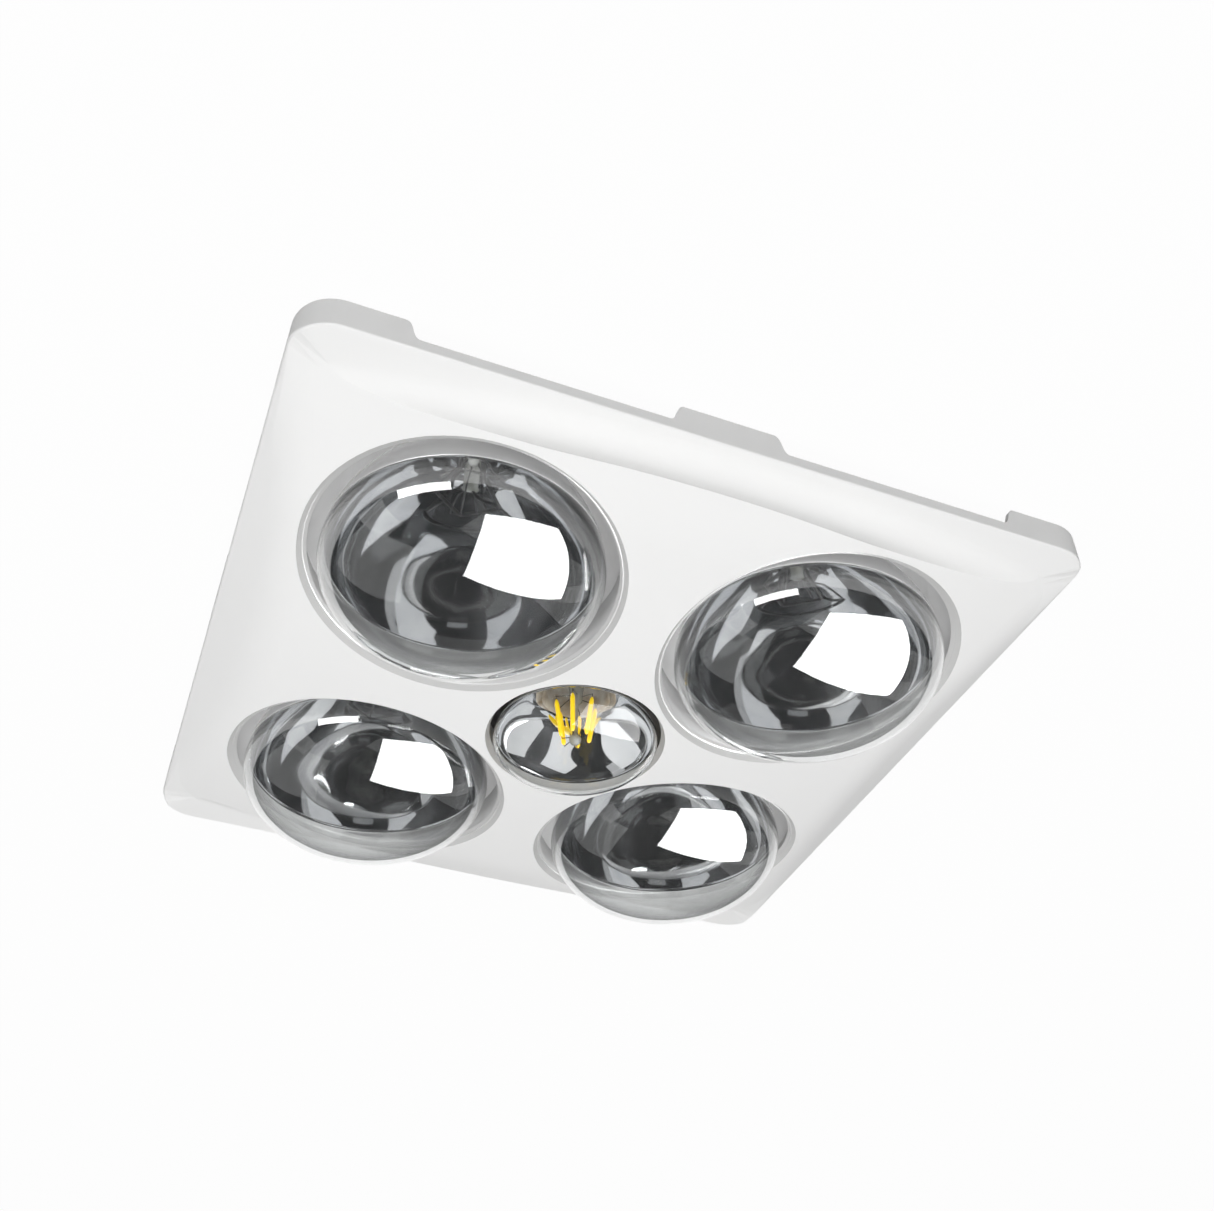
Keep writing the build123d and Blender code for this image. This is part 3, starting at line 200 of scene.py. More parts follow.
class Look:
    """A node material with a principled shader at its end, kept in looks by its name."""

    def __init__(self, name, color, roughness, metallic=0.0, **sockets):
        material = bpy.data.materials.new(name)
        material.use_nodes = True
        looks[name] = material
        self.tree = material.node_tree
        self.shader = self.tree.nodes["Principled BSDF"]
        self.set(self.shader, "Base Color", (*color, 1.0))
        self.set(self.shader, "Roughness", roughness)
        self.set(self.shader, "Metallic", metallic)
        for socket, value in sockets.items():
            self.set(self.shader, socket.replace("_", " "), value)
        self.place = self.node("ShaderNodeTexCoord").outputs["Object"]
        self.height = None

    def set(self, node, socket, value):
        node.inputs[socket].default_value = value

    def node(self, kind, **values):
        made = self.tree.nodes.new(kind)
        for key, value in values.items():
            setattr(made, key, value)
        return made

    def link(self, output, socket):
        self.tree.links.new(output, socket)

    def stretched(self, scale):
        """Object coordinates scaled differently along the three axes."""
        mapping = self.node("ShaderNodeMapping")
        self.link(self.place, mapping.inputs["Vector"])
        self.set(mapping, "Scale", scale)
        return mapping.outputs["Vector"]

    def noise(self, scale, detail=3.0, source=None):
        """Soft cloudy values from 0 to 1."""
        made = self.node("ShaderNodeTexNoise")
        self.link(source or self.place, made.inputs["Vector"])
        self.set(made, "Scale", scale)
        self.set(made, "Detail", detail)
        return made.outputs["Fac"]

    def cells(self, scale):
        """Small patches of one value each."""
        made = self.node("ShaderNodeTexVoronoi")
        self.link(self.place, made.inputs["Vector"])
        self.set(made, "Scale", scale)
        return made.outputs["Color"]

    def bands(self, scale, direction):
        """Even bands, one after the other in that direction."""
        made = self.node("ShaderNodeTexWave", bands_direction=direction)
        self.link(self.place, made.inputs["Vector"])
        self.set(made, "Scale", scale)
        return made.outputs["Fac"]

    def colors(self, factor, dark, light, low=0.3, high=0.7):
        """The base colour goes from dark to light with the factor."""
        ramp = self.node("ShaderNodeValToRGB")
        ramp.color_ramp.elements[0].position = low
        ramp.color_ramp.elements[0].color = (*dark, 1.0)
        ramp.color_ramp.elements[1].position = high
        ramp.color_ramp.elements[1].color = (*light, 1.0)
        self.link(factor, ramp.inputs["Fac"])
        self.link(ramp.outputs["Color"], self.shader.inputs["Base Color"])

    def gloss(self, factor, low, high):
        """The roughness goes from low to high with the factor."""
        made = self.node("ShaderNodeMapRange")
        self.link(factor, made.inputs["Value"])
        self.set(made, "To Min", low)
        self.set(made, "To Max", high)
        self.link(made.outputs["Result"], self.shader.inputs["Roughness"])

    def bump(self, factor, depth):
        """Adds a layer of relief of that depth in metres."""
        made = self.node("ShaderNodeBump")
        self.link(factor, made.inputs["Height"])
        self.set(made, "Distance", depth)
        self.set(made, "Strength", 1.0)
        if self.height is not None:
            self.link(self.height, made.inputs["Normal"])
        self.height = made.outputs["Normal"]
        self.link(self.height, self.shader.inputs["Normal"])


def darker(color, share):
    """That share of a colour."""
    return tuple(c * share for c in color)


def moulded(name, color, roughness, grain=0.02, spread=0.03, shine=0.5):
    """Moulded plastic: faint mottling, a fine satin grain and slightly uneven gloss."""
    look = Look(name, color, roughness, Specular_IOR_Level=shine)
    look.colors(look.noise(18.0), darker(color, 1 - spread), color)
    look.gloss(look.noise(120.0), roughness - 0.05, roughness + 0.05)
    look.bump(look.noise(1400.0, 2.0), grain * MM)


def galvanised(name):
    """Zinc-coated sheet: small pale and dark spangles with uneven gloss."""
    look = Look(name, (0.42, 0.43, 0.44), 0.45, 1.0)
    look.colors(look.cells(240.0), (0.30, 0.305, 0.315), (0.40, 0.405, 0.415), 0.1, 0.9)
    look.gloss(look.noise(90.0), 0.34, 0.56)
    look.bump(look.noise(260.0), 0.02 * MM)


def turned(name, color, roughness):
    """Bright metal with the fine rings and faint stains of spinning or turning."""
    look = Look(name, color, roughness, 1.0)
    look.colors(look.noise(60.0), darker(color, 0.82), color)
    rings = look.noise(900.0, 1.0, look.stretched((0.03, 0.03, 1.0)))
    look.gloss(rings, roughness * 0.75, roughness * 1.3)
    look.bump(rings, 0.01 * MM)


def glazed(name):
    """Glazed porcelain: cream white, with a clear coat and pinholes."""
    look = Look(name, (0.82, 0.79, 0.71), 0.35, Coat_Weight=0.8, Coat_Roughness=0.08)
    look.colors(look.noise(45.0), (0.74, 0.70, 0.61), (0.84, 0.81, 0.74))
    look.bump(look.noise(220.0), 0.05 * MM)


def enamelled(name, color):
    """Baked paint on steel with a light orange-peel."""
    look = Look(name, color, 0.4)
    look.colors(look.noise(40.0), darker(color, 0.8), color)
    look.gloss(look.noise(150.0), 0.32, 0.5)
    look.bump(look.noise(500.0, 1.0), 0.03 * MM)


def laminated(name):
    """Stacked stator sheets: fine dark lines one above the other."""
    look = Look(name, (0.25, 0.25, 0.26), 0.5, 0.9)
    sheets = look.bands(320.0, "Z")
    look.colors(sheets, (0.10, 0.10, 0.11), (0.33, 0.33, 0.34), 0.2, 0.6)
    look.bump(sheets, 0.1 * MM)


def rubbery(name):
    """Black rubber with a dull, fine grain."""
    look = Look(name, (0.03, 0.03, 0.03), 0.75)
    look.colors(look.noise(70.0), (0.022, 0.022, 0.023), (0.045, 0.045, 0.046))
    look.bump(look.noise(900.0), 0.03 * MM)


def phosphor(name):
    """Yellow silicone over the row of chips, slightly lumpy, with a weak glow of its own."""
    look = Look(name, (0.98, 0.66, 0.01), 0.45)
    look.colors(look.noise(300.0), (0.95, 0.60, 0.008), (1.0, 0.74, 0.02))
    look.bump(look.noise(900.0, 1.0), 0.05 * MM)
    look.set(look.shader, "Emission Color", (1.0, 0.68, 0.01, 1.0))
    look.set(look.shader, "Emission Strength", 0.6)


def clear_glass(name, bending, coat):
    """Clear hard glass with a bright surface, and the faintest unevenness of a blown bulb."""
    look = Look(name, (0.97, 0.98, 0.98), 0.0, Transmission_Weight=1.0, IOR=bending, Coat_Weight=coat)
    look.set(look.shader, "Coat Roughness", 0.0)
    look.bump(look.noise(28.0, 1.0), 0.15 * MM)


def bulb_skin_painted_reflection(name):
    """The outside of the mirrored part of a bulb: silver behind glass drawn as a pale, mostly diffuse
    colour, a painted reflection, with fine rings.
    """
    look = Look(name, (0.95, 0.95, 0.95), 0.16, 0.1)
    look.colors(look.noise(25.0), (0.90, 0.90, 0.905), (0.96, 0.96, 0.96))
    rings = look.noise(260.0, 2.0, look.stretched((0.06, 0.06, 1.0)))
    look.gloss(rings, 0.10, 0.25)
    look.bump(rings, 0.04 * MM)


def waxy(name):
    """Beige dust and brown stains inside the neck of the centre lamp."""
    look = Look(name, (0.78, 0.72, 0.64), 0.35)
    look.colors(look.noise(90.0, 6.0), (0.42, 0.30, 0.17), (0.90, 0.86, 0.80), 0.25, 0.6)
    look.bump(look.noise(300.0), 0.1 * MM)


def mirror_coat(name):
    """Vapour-deposited aluminium inside the glass: a mirror with soft streaks."""
    look = Look(name, (0.86, 0.87, 0.88), 0.03, 1.0)
    look.colors(look.noise(35.0), (0.76, 0.77, 0.79), (0.90, 0.905, 0.91))
    look.gloss(look.noise(120.0), 0.02, 0.08)
    look.bump(look.noise(22.0, 2.0), 0.35 * MM)


def milky_glass(name):
    """Pressed stem glass: greenish, cloudy and slightly see-through."""
    look = Look(name, (0.56, 0.57, 0.54), 0.2, Coat_Weight=0.8, Transmission_Weight=0.35)
    look.colors(look.noise(160.0), (0.46, 0.46, 0.40), (0.66, 0.68, 0.66))
    look.bump(look.noise(300.0), 0.05 * MM)


def wire(name, color):
    """Drawn wire, darker in places."""
    look = Look(name, color, 0.35, 1.0)
    look.colors(look.noise(700.0), darker(color, 0.6), color)
    look.bump(look.noise(2500.0), 0.01 * MM)


def spun_reflector(name):
    """Aluminised steel that was spun: satin grey with fine rings."""
    look = Look(name, (0.60, 0.60, 0.60), 0.5, 0.15)
    look.colors(look.noise(30.0), (0.52, 0.52, 0.52), (0.62, 0.62, 0.62))
    rings = look.noise(700.0, 1.0, look.stretched((0.02, 0.02, 1.0)))
    look.gloss(rings, 0.38, 0.6)
    look.bump(rings, 0.02 * MM)


moulded("white_plastic", (0.90, 0.90, 0.895), 0.45, grain=0.004, spread=0.01, shine=0.0)
# The lips are the same plastic as the face, painted darker as shade
moulded("lip_painted_shade", (0.62, 0.62, 0.615), 0.5, grain=0.01, spread=0.01, shine=0.05)
galvanised("housing_steel")
galvanised("bracket_steel")
turned("screw_steel", (0.70, 0.70, 0.69), 0.3)
spun_reflector("reflector_steel")
clear_glass("lamp_glass", 1.47, 1.0)
clear_glass("light_glass", 1.3, 0.0)
turned("cap_metal", (0.72, 0.71, 0.68), 0.28)
wire("filament_wire", (0.10, 0.10, 0.10))
phosphor("led_phosphor")
milky_glass("stem_glass")
glazed("porcelain")
turned("brass", (0.78, 0.58, 0.26), 0.3)
moulded("fan_plastic", (0.045, 0.048, 0.052), 0.5)
moulded("impeller_plastic", (0.74, 0.74, 0.71), 0.45)
moulded("flap_plastic", (0.66, 0.66, 0.64), 0.45)
enamelled("motor_steel", (0.03, 0.03, 0.032))
turned("bearing_bronze", (0.50, 0.30, 0.14), 0.4)
laminated("stator_iron")
turned("rotor_aluminium", (0.66, 0.66, 0.66), 0.35)
turned("shaft_steel", (0.66, 0.66, 0.66), 0.2)
wire("spring_steel", (0.62, 0.62, 0.62))
rubbery("black_rubber")
moulded("terminal_plastic", (0.58, 0.58, 0.56), 0.5)
moulded("block_plastic", (0.72, 0.70, 0.63), 0.4)
moulded("gland_plastic", (0.02, 0.02, 0.02), 0.45)
moulded("capacitor_plastic", (0.70, 0.70, 0.68), 0.3)
turned("cutout_metal", (0.66, 0.66, 0.66), 0.3)
mirror_coat("mirror_coat")
# The bulb's outer silver is drawn pale and diffuse: a painted reflection
bulb_skin_painted_reflection("bulb_skin_painted_reflection")
waxy("neck_wax")

# Each node of the frame gets the look of its material slot
node_slot = {row["node"]: row["material_slot"] for row in frame["record"]["subparts"]}
for node, piece in frame["nodes"].items():
    piece.data.materials.clear()
    piece.data.materials.append(looks[node_slot[node]])


# Meshes

def in_scene(name, data):
    """An object in the scene, made of that mesh, lamp or camera."""
    made = bpy.data.objects.new(name, data)
    bpy.context.scene.collection.objects.link(made)
    return made


def new_object(name, points, faces, material):
    """A smooth mesh object of one material."""
    mesh = bpy.data.meshes.new(name)
    mesh.from_pydata([tuple(p) for p in points], [], faces)
    mesh.materials.append(material)
    mesh.shade_smooth()
    return in_scene(name, mesh)


def new_piece(name, points, faces, look, slot, node=None):
    """A mesh object that rides on the housing, and that may take the place of a node."""
    piece = new_object(name, points, faces, looks[look])
    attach(piece, "housing")
    if node:
        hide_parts(node)
    return piece


def lathe(outline, centre, steps=LATHE_STEPS, closed=True):
    """Points and faces of an outline of (radius, height) turned round a vertical axis."""
    points, faces, rows = [], [], []
    for radius, height in outline:
        if radius < ON_AXIS:
            rows.append([len(points)] * steps)
            points.append((centre[0], centre[1], height))
            continue
        rows.append(list(range(len(points), len(points) + steps)))
        for n in range(steps):
            turn = tau * n / steps
            points.append((centre[0] + radius * cos(turn), centre[1] + radius * sin(turn), height))
    pairs = list(zip(rows, rows[1:] + rows[:1])) if closed else list(zip(rows, rows[1:]))
    for low, high in pairs:
        for n in range(steps):
            after = (n + 1) % steps
            ring = [low[n], low[after], high[after], high[n]]
            kept = [v for i, v in enumerate(ring) if v != ring[i - 1]]
            if len(kept) > 2:
                faces.append(kept)
    return points, faces


def band(low, high, steps):
    """Faces between two rings of points that start at those numbers."""
    pairs = [(n, (n + 1) % steps) for n in range(steps)]
    return [[low + n, low + after, high + after, high + n] for n, after in pairs]


def swept(rings, sides):
    """Points and faces of a bar through rings of (middle, radius, two directions across)."""
    points, faces = [], []
    for middle, radius, across, other in rings:
        for k in range(sides):
            turn = tau * k / sides
            points.append(middle + radius * (cos(turn) * across + sin(turn) * other))
    last = len(rings) - 1
    for i in range(last):
        faces += band(i * sides, (i + 1) * sides, sides)
    faces.append(list(range(sides))[::-1])
    faces.append([last * sides + k for k in range(sides)])
    return points, faces


def tube(path, radius, sides=8):
    """Points and faces of a round wire along a path."""
    path = [Vector(p) for p in path]
    rings = []
    across = None
    for i, p in enumerate(path):
        before = path[max(i - 1, 0)]
        after = path[min(i + 1, len(path) - 1)]
        along = (after - before).normalized()
        if across is None:
            across = along.orthogonal().normalized()
        across = (across - along * across.dot(along)).normalized()
        rings.append((p, radius, across, along.cross(across)))
    return swept(rings, sides)


def tapered(rings):
    """Points and faces of a straight round bar through rings of (middle, radius)."""
    along = (Vector(rings[-1][0]) - Vector(rings[0][0])).normalized()
    across = along.orthogonal().normalized()
    other = along.cross(across)
    return swept([(Vector(middle), radius, across, other) for middle, radius in rings], STICK_SIDES)


def joined(parts):
    """Several point and face lists as one."""
    points, faces = [], []
    for some_points, some_faces in parts:
        start = len(points)
        points += list(some_points)
        faces += [[start + v for v in face] for face in some_faces]
    return points, faces


def bezier(start, leaving, arriving, end, steps):
    """Points of a cubic curve, without its first."""
    controls = (start, leaving, arriving, end)
    found = []
    for n in range(1, steps + 1):
        done = n / steps
        left = 1 - done
        weights = (left**3, 3 * left * left * done, 3 * left * done * done, done**3)
        found.append(tuple(sum(w * p[i] for w, p in zip(weights, controls)) for i in (0, 1)))
    return found


def placed(point, centre, turn):
    """A point of (reach, side, height) turned about the vertical and moved to a centre."""
    reach, side, height = point
    x = centre[0] + reach * cos(turn) - side * sin(turn)
    y = centre[1] + reach * sin(turn) + side * cos(turn)
    return (x, y, height)


def coil_between(start, end, radius, turns):
    """A wire path that winds round the straight line from start to end."""
    start, end = Vector(start), Vector(end)
    along = end - start
    across = along.orthogonal().normalized()
    other = along.normalized().cross(across)
    count = turns * COIL_TURN_STEPS
    path = []
    for n in range(count + 1):
        turn = tau * n / COIL_TURN_STEPS
        path.append(start + along * n / count + radius * (cos(turn) * across + sin(turn) * other))
    return path


def extent(node):
    """The middle of a node's box, half its width, and its lowest and highest z."""
    low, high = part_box(node)
    centre = ((low.x + high.x) / 2, (low.y + high.y) / 2)
    return centre, (high.x - low.x) / 2, low.z, high.z


# Front panel

def in_lip(point, normal):
    """Whether a face of the panel belongs to the sloping lip of an opening."""
    for x, y, inner, outer in OPENINGS:
        rise = sqrt(DOME_RADIUS**2 - x * x - y * y)
        axis = Vector((-x, -y, rise)) / DOME_RADIUS
        away = point - Vector((x, y, DOME_CENTRE_Z - rise))
        across = away - axis * away.dot(axis)
        near = inner - LIP_EDGE < across.length < outer + LIP_EDGE
        if near and normal.dot(across.normalized()) < LIP_FACING and normal.z < LIP_DOWNWARD:
            return True
    return False


def finish_panel():
    """A copy of the panel whose lips are painted a darker white as shade, and whose side slopes run out
    to the panel's edge.
    """
    mesh = frame["nodes"]["front_panel"].data.copy()
    for vertex in mesh.vertices:
        past_foot = abs(vertex.co.x) - SLOPE_FOOT
        if past_foot > 0 and vertex.co.z < EDGE_TOP_Z:
            vertex.co.z += past_foot * SLOPE_RISE
    # Lip faces take the darker white: painted shade
    mesh.materials.append(looks["lip_painted_shade"])
    for face in mesh.polygons:
        if in_lip(face.center, face.normal):
            face.material_index = 1
    piece = in_scene("panel_face", mesh)
    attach(piece, "panel")
    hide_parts("front_panel")


# Reflectors: the lower part of each, which ends just above the panel's tilted lip

def make_reflector_skirt(corner):
    """A thin ring from the reflector's rim down to the lip of its opening."""
    (x, y), rim, low_z, _ = extent(f"reflector_{corner}")
    foot = rim - SKIRT_DRAW
    rise = sqrt(DOME_RADIUS**2 - x * x - y * y)
    out = Vector((x, y)).normalized()
    tilt = Vector((x, y)).length / rise
    lip_z = DOME_CENTRE_Z - rise + LIP_DEPTH + SKIRT_GAP
    rings = ((rim, 0.0), (foot, 1.0), (foot - REFLECTOR_SHEET, 1.0), (rim - REFLECTOR_SHEET, 0.0))
    points, faces = [], []
    for radius, share in rings:
        for n in range(LATHE_STEPS):
            turn = tau * n / LATHE_STEPS
            across = Vector((radius * cos(turn), radius * sin(turn)))
            foot_z = lip_z + tilt * across.dot(out)
            points.append((x + across.x, y + across.y, low_z + share * (foot_z - low_z)))
    for ring in range(len(rings)):
        after = (ring + 1) % len(rings)
        faces += band(ring * LATHE_STEPS, after * LATHE_STEPS, LATHE_STEPS)
    new_piece(f"reflector_skirt_{corner}", points, faces, "reflector_steel", "reflector_steel")


# Bulbs: a clear domed front and the mirrored back

def back_outline(radius, widest_z, neck, shares, cap_z, inset):
    """The bulb from its widest ring back to the cap, drawn in by inset."""
    depth = cap_z - widest_z
    belly, shoulder_at, neck_at = shares
    flare_start, flare_end = FLARE_SHARES
    wide, narrow, cap = radius - inset, neck - inset, CAP_RADIUS - inset
    first = (wide, widest_z)
    bow = (wide, widest_z + belly * depth)
    waist = (narrow, cap_z - shoulder_at * depth)
    neck_end = (narrow, cap_z - neck_at * depth)
    shoulder = bezier(first, bow, waist, neck_end, SHOULDER_STEPS)
    leaving = (narrow, cap_z - flare_start * depth)
    arriving = (cap, cap_z - flare_end * depth)
    flare = bezier(shoulder[-1], leaving, arriving, (cap, cap_z - inset), FLARE_STEPS)
    return [first, *shoulder, *flare]


def front_outline(radius, widest_z, height, inset):
    """The domed front from its middle out to the widest ring, drawn in by inset."""
    turns = [pi / 2 * n / FRONT_STEPS for n in range(FRONT_STEPS + 1)]
    return [((radius - inset) * sin(t), widest_z - (height - inset) * cos(t)) for t in turns]


def hide_from_light(piece):
    """The piece throws no shadow, and diffuse light passes through it."""
    piece.visible_shadow = False
    piece.visible_diffuse = False


def make_bulb(name, node, front_height, neck, shares, clear_band, glass_look="lamp_glass", wax_z=None):
    """The glass and the mirror of one lamp, in place of its plain bulb."""
    centre, radius, low_z, cap_z = extent(node)
    widest_z = low_z + front_height
    outside, inside = [
        front_outline(radius, widest_z, front_height, inset)
        + back_outline(radius, widest_z, neck, shares, cap_z, inset)[1:]
        for inset in (0, GLASS_WALL)
    ]
    edge = next(n for n, (_, z) in enumerate(outside) if z > widest_z + clear_band)
    glass = outside[:edge + 1] + inside[:edge + 1][::-1]
    coat = outside[edge:] + inside[edge:][::-1]
    front = new_piece(f"{name}_front_glass", *lathe(glass, centre), glass_look, "lamp_glass", node)
    back = new_piece(f"{name}_mirror", *lathe(coat, centre), "mirror_coat", "lamp_glass", node)
    hide_from_light(front)
    hide_from_light(back)
    paint_mirror(back.data, len(outside[edge:]), wax_z)


def paint_mirror(mesh, outer_rows, wax_z):
    """The mirror's outer rows get the bulb's skin with its painted reflection, and the inside of the
    neck its stains.
    """
    mesh.materials.append(looks["bulb_skin_painted_reflection"])
    mesh.materials.append(looks["neck_wax"])
    for face in mesh.polygons:
        if face.index // LATHE_STEPS < outer_rows - 1:
            face.material_index = 1
        elif wax_z is not None and face.center.z > wax_z:
            face.material_index = 2


# Filament of a heat lamp: a glass stem, and leads, struts and coils as one wire piece

def heat_stem_outline(stem_z, top_z):
    """The stem from its tip up to the cap."""
    return [
        (0, stem_z - 3.0 * MM),
        (2.6 * MM, stem_z - 2.0 * MM),
        (3.0 * MM, stem_z),
        (2.4 * MM, stem_z + 2.0 * MM),
        (2.8 * MM, top_z - 12.0 * MM),
        (4.5 * MM, top_z - 3.0 * MM),
        (4.5 * MM, top_z),
        (0, top_z),
    ]


def filament_struts(centre, reach, coil_z, stem_z, turns):
    """Thin struts that spread from the stem to the filament's ring."""
    struts = []
    for turn in turns:
        top = placed((STRUT_TOP_REACH, 0, stem_z), centre, turn)
        knee = placed((reach * KNEE_SHARE, 0, stem_z - KNEE_DROP), centre, turn)
        foot = placed((reach, 0, coil_z), centre, turn)
        struts.append(tube([top, knee, foot], STRUT_RADIUS))
    return struts


def filament_leads(centre, reach, coil_z, top_z):
    """Two stout leads from the cap, outside the stem, down to the filament's ring."""
    path = [
        (1.8 * MM, 0, top_z - 8.0 * MM),
        (5.5 * MM, 0, top_z - 30.0 * MM),
        (7.0 * MM, 0, coil_z + 14.0 * MM),
        (reach, 0, coil_z),
    ]
    turns = (LEAD_TURN, LEAD_TURN + pi)
    return [tube([placed(p, centre, turn) for p in path], LEAD_RADIUS) for turn in turns]


def make_filament(corner):
    """The filament of one heat lamp with its stem, in place of the plain one."""
    node = f"heat_lamp_filament_{corner}"
    centre, half_width, low_z, top_z = extent(node)
    reach = half_width - FILAMENT_INSET
    coil_z = low_z + FILAMENT_LIFT
    stem_z = coil_z + FILAMENT_DROP
    stem = lathe(heat_stem_outline(stem_z, top_z), centre, STEM_STEPS, False)
    new_piece(f"heat_stem_{corner}", *stem, "stem_glass", "stem_glass", node)
    turns = [tau * (n + 0.25) / STRUT_COUNT for n in range(STRUT_COUNT)]
    wires = filament_struts(centre, reach, coil_z, stem_z, turns)
    wires += filament_leads(centre, reach, coil_z, top_z)
    ends = [placed((reach, 0, coil_z), centre, turn) for turn in turns]
    for start, end in zip(ends, ends[1:]):
        coil = coil_between(start, end, COIL_RADIUS, COIL_TURNS)
        wires.append(tube(coil, COIL_WIRE_RADIUS, sides=5))
    new_piece(f"heat_filament_{corner}", *joined(wires), "filament_wire", "filament_wire", node)


# Centre lamp: sticks that lean in towards their feet, their wires, and the stem with its bead

def stick_wires(turn):
    """The wires from both ends of one stick to the stem."""
    (top_reach, top_z), (foot_reach, foot_z) = STICK_TOP, STICK_FOOT
    top = placed((top_reach, 0, top_z), (0, 0), turn)
    pin = placed((top_reach + 0.4 * MM, 0, top_z + 2.4 * MM), (0, 0), turn)
    inner = placed((3.0 * MM, 0, top_z + 4.5 * MM), (0, 0), turn + STICK_WIRE_TURN)
    foot = placed((foot_reach, 0, foot_z), (0, 0), turn)
    bend = placed((foot_reach - 0.3 * MM, 0, foot_z - 1.0 * MM), (0, 0), turn)
    bead = placed((2.2 * MM, 0, foot_z + 0.8 * MM), (0, 0), turn)
    return [tube(path, STICK_WIRE_RADIUS, sides=6) for path in ([top, pin, inner], [foot, bend, bead])]


def make_sticks():
    """The yellow sticks with tapered ends. Returns their wires."""
    (top_reach, top_z), (foot_reach, foot_z) = STICK_TOP, STICK_FOOT
    sticks, wires = [], []
    for n in range(STICK_COUNT):
        turn = tau * n / STICK_COUNT
        rings = []
        for share, width in STICK_TAPER:
            reach = foot_reach + (top_reach - foot_reach) * share
            height = foot_z + (top_z - foot_z) * share
            rings.append((placed((reach, 0, height), (0, 0), turn), width * STICK_RADIUS))
        sticks.append(tapered(rings))
        wires += stick_wires(turn)
    new_piece("light_sticks", *joined(sticks), "led_phosphor", "led_phosphor", "light_lamp_led_sticks")
    return wires


def light_stem_outline(foot_z, stick_top_z, top_z):
    """The stem from its round bead up to the cap."""
    turns = [pi * n / BEAD_STEPS for n in range(BEAD_STEPS - 2)]
    return [(BEAD_RADIUS * sin(t), foot_z - BEAD_RADIUS * cos(t)) for t in turns] + [
        (1.3 * MM, foot_z + 4.0 * MM),
        (1.3 * MM, stick_top_z - 1.0 * MM),
        (3.2 * MM, stick_top_z + 1.5 * MM),
        (3.6 * MM, stick_top_z + 9.0 * MM),
        (4.5 * MM, stick_top_z + 16.0 * MM),
        (4.5 * MM, top_z),
        (0, top_z),
    ]


def make_light_stem(wires):
    """The pressed glass stem, and the sticks' wires with the prongs of its bead as one piece."""
    node = "light_lamp_stem"
    _, _, _, top_z = extent(node)
    foot_z = STICK_FOOT[1]
    stem = lathe(light_stem_outline(foot_z, STICK_TOP[1], top_z), (0, 0), STEM_STEPS, False)
    new_piece("light_stem", *stem, "stem_glass", "stem_glass", node)
    for n in range(PRONG_COUNT):
        turn = tau * (n + 0.5) / PRONG_COUNT
        low = placed((1.6 * MM, 0, foot_z - 1.5 * MM), (0, 0), turn)
        high = placed((2.9 * MM, 0, foot_z + 4.5 * MM), (0, 0), turn)
        wires.append(tube([low, high], PRONG_RADIUS, sides=6))
    new_piece("light_leads", *joined(wires), "filament_wire", "filament_wire", node)


# Springs: close-wound wire with a hook at each end, stretching between housing and panel

def hook(z, way, bends):
    """Points of a hook's arc about height z, in the plane across the reach."""
    return [(0, HOOK_RADIUS * cos(way * b), z + HOOK_RADIUS * sin(way * b)) for b in bends]


def spring_path(low_z, high_z):
    """The wire from the lower hook's tip to the upper one's, as (reach, side, height)."""
    coil_radius = SPRING_RADIUS - WIRE_RADIUS
    length = high_z - low_z - 2 * COIL_PITCH
    count = round(length / COIL_PITCH) * COIL_STEPS
    bends = [HOOK_BEND * n / HOOK_STEPS for n in range(1, HOOK_STEPS + 1)]
    path = hook(low_z, -1, bends[::-1])
    for n in range(count + 1):
        wind = tau * n / COIL_STEPS
        height = low_z + COIL_PITCH + length * n / count
        path.append((coil_radius * sin(wind), coil_radius * cos(wind), height))
    return path + hook(high_z, 1, bends)


def make_spring(side):
    """One spring with its coils, in place of the plain one."""
    node = f"panel_spring_{side}"
    (x, y), _, low_z, high_z = extent(node)
    turn = tau / 4 * SIDES.index(side)
    low_hook = low_z + HOOK_RADIUS + WIRE_RADIUS
    high_hook = high_z - HOOK_RADIUS - WIRE_RADIUS
    path = [placed(p, (x, y), turn) for p in spring_path(low_hook, high_hook)]
    spring = new_object(f"spring_{side}", *tube(path, WIRE_RADIUS), looks["spring_steel"])
    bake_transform(spring)
    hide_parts(node)


# All pieces

finish_panel()
for corner in CORNERS:
    make_reflector_skirt(corner)
for corner in CORNERS:
    lamp, node = f"heat_lamp_{corner}", f"heat_lamp_glass_{corner}"
    make_bulb(lamp, node, HEAT_FRONT_HEIGHT, HEAT_NECK_RADIUS, HEAT_SHARES, HEAT_CLEAR_BAND)
    make_filament(corner)
make_bulb(
    "light_lamp", "light_lamp_glass", LIGHT_FRONT_HEIGHT, LIGHT_NECK_RADIUS, LIGHT_SHARES,
    LIGHT_CLEAR_BAND, "light_glass", LIGHT_WAX_Z,
)
make_light_stem(make_sticks())
for side in SIDES:
    make_spring(side)


# Stage: ceiling, background, lights, and cards that show only as reflections

def emptied_tree(owner):
    """The node tree of a material or world, with no nodes in it."""
    owner.use_nodes = True
    owner.node_tree.nodes.clear()
    return owner.node_tree


def combined(tree, operation, first, second):
    """The result of a math node on an output and another output or a number, kept within 0 and 1."""
    node = tree.nodes.new("ShaderNodeMath")
    node.operation = operation
    node.use_clamp = True
    tree.links.new(first, node.inputs[0])
    if isinstance(second, float):
        node.inputs[1].default_value = second
    else:
        tree.links.new(second, node.inputs[1])
    return node.outputs[0]


def mixed(tree, share, first, second):
    """A shader that goes from the first to the second with the share."""
    node = tree.nodes.new("ShaderNodeMixShader")
    tree.links.new(share, node.inputs["Fac"])
    tree.links.new(first, node.inputs[1])
    tree.links.new(second, node.inputs[2])
    return node.outputs["Shader"]


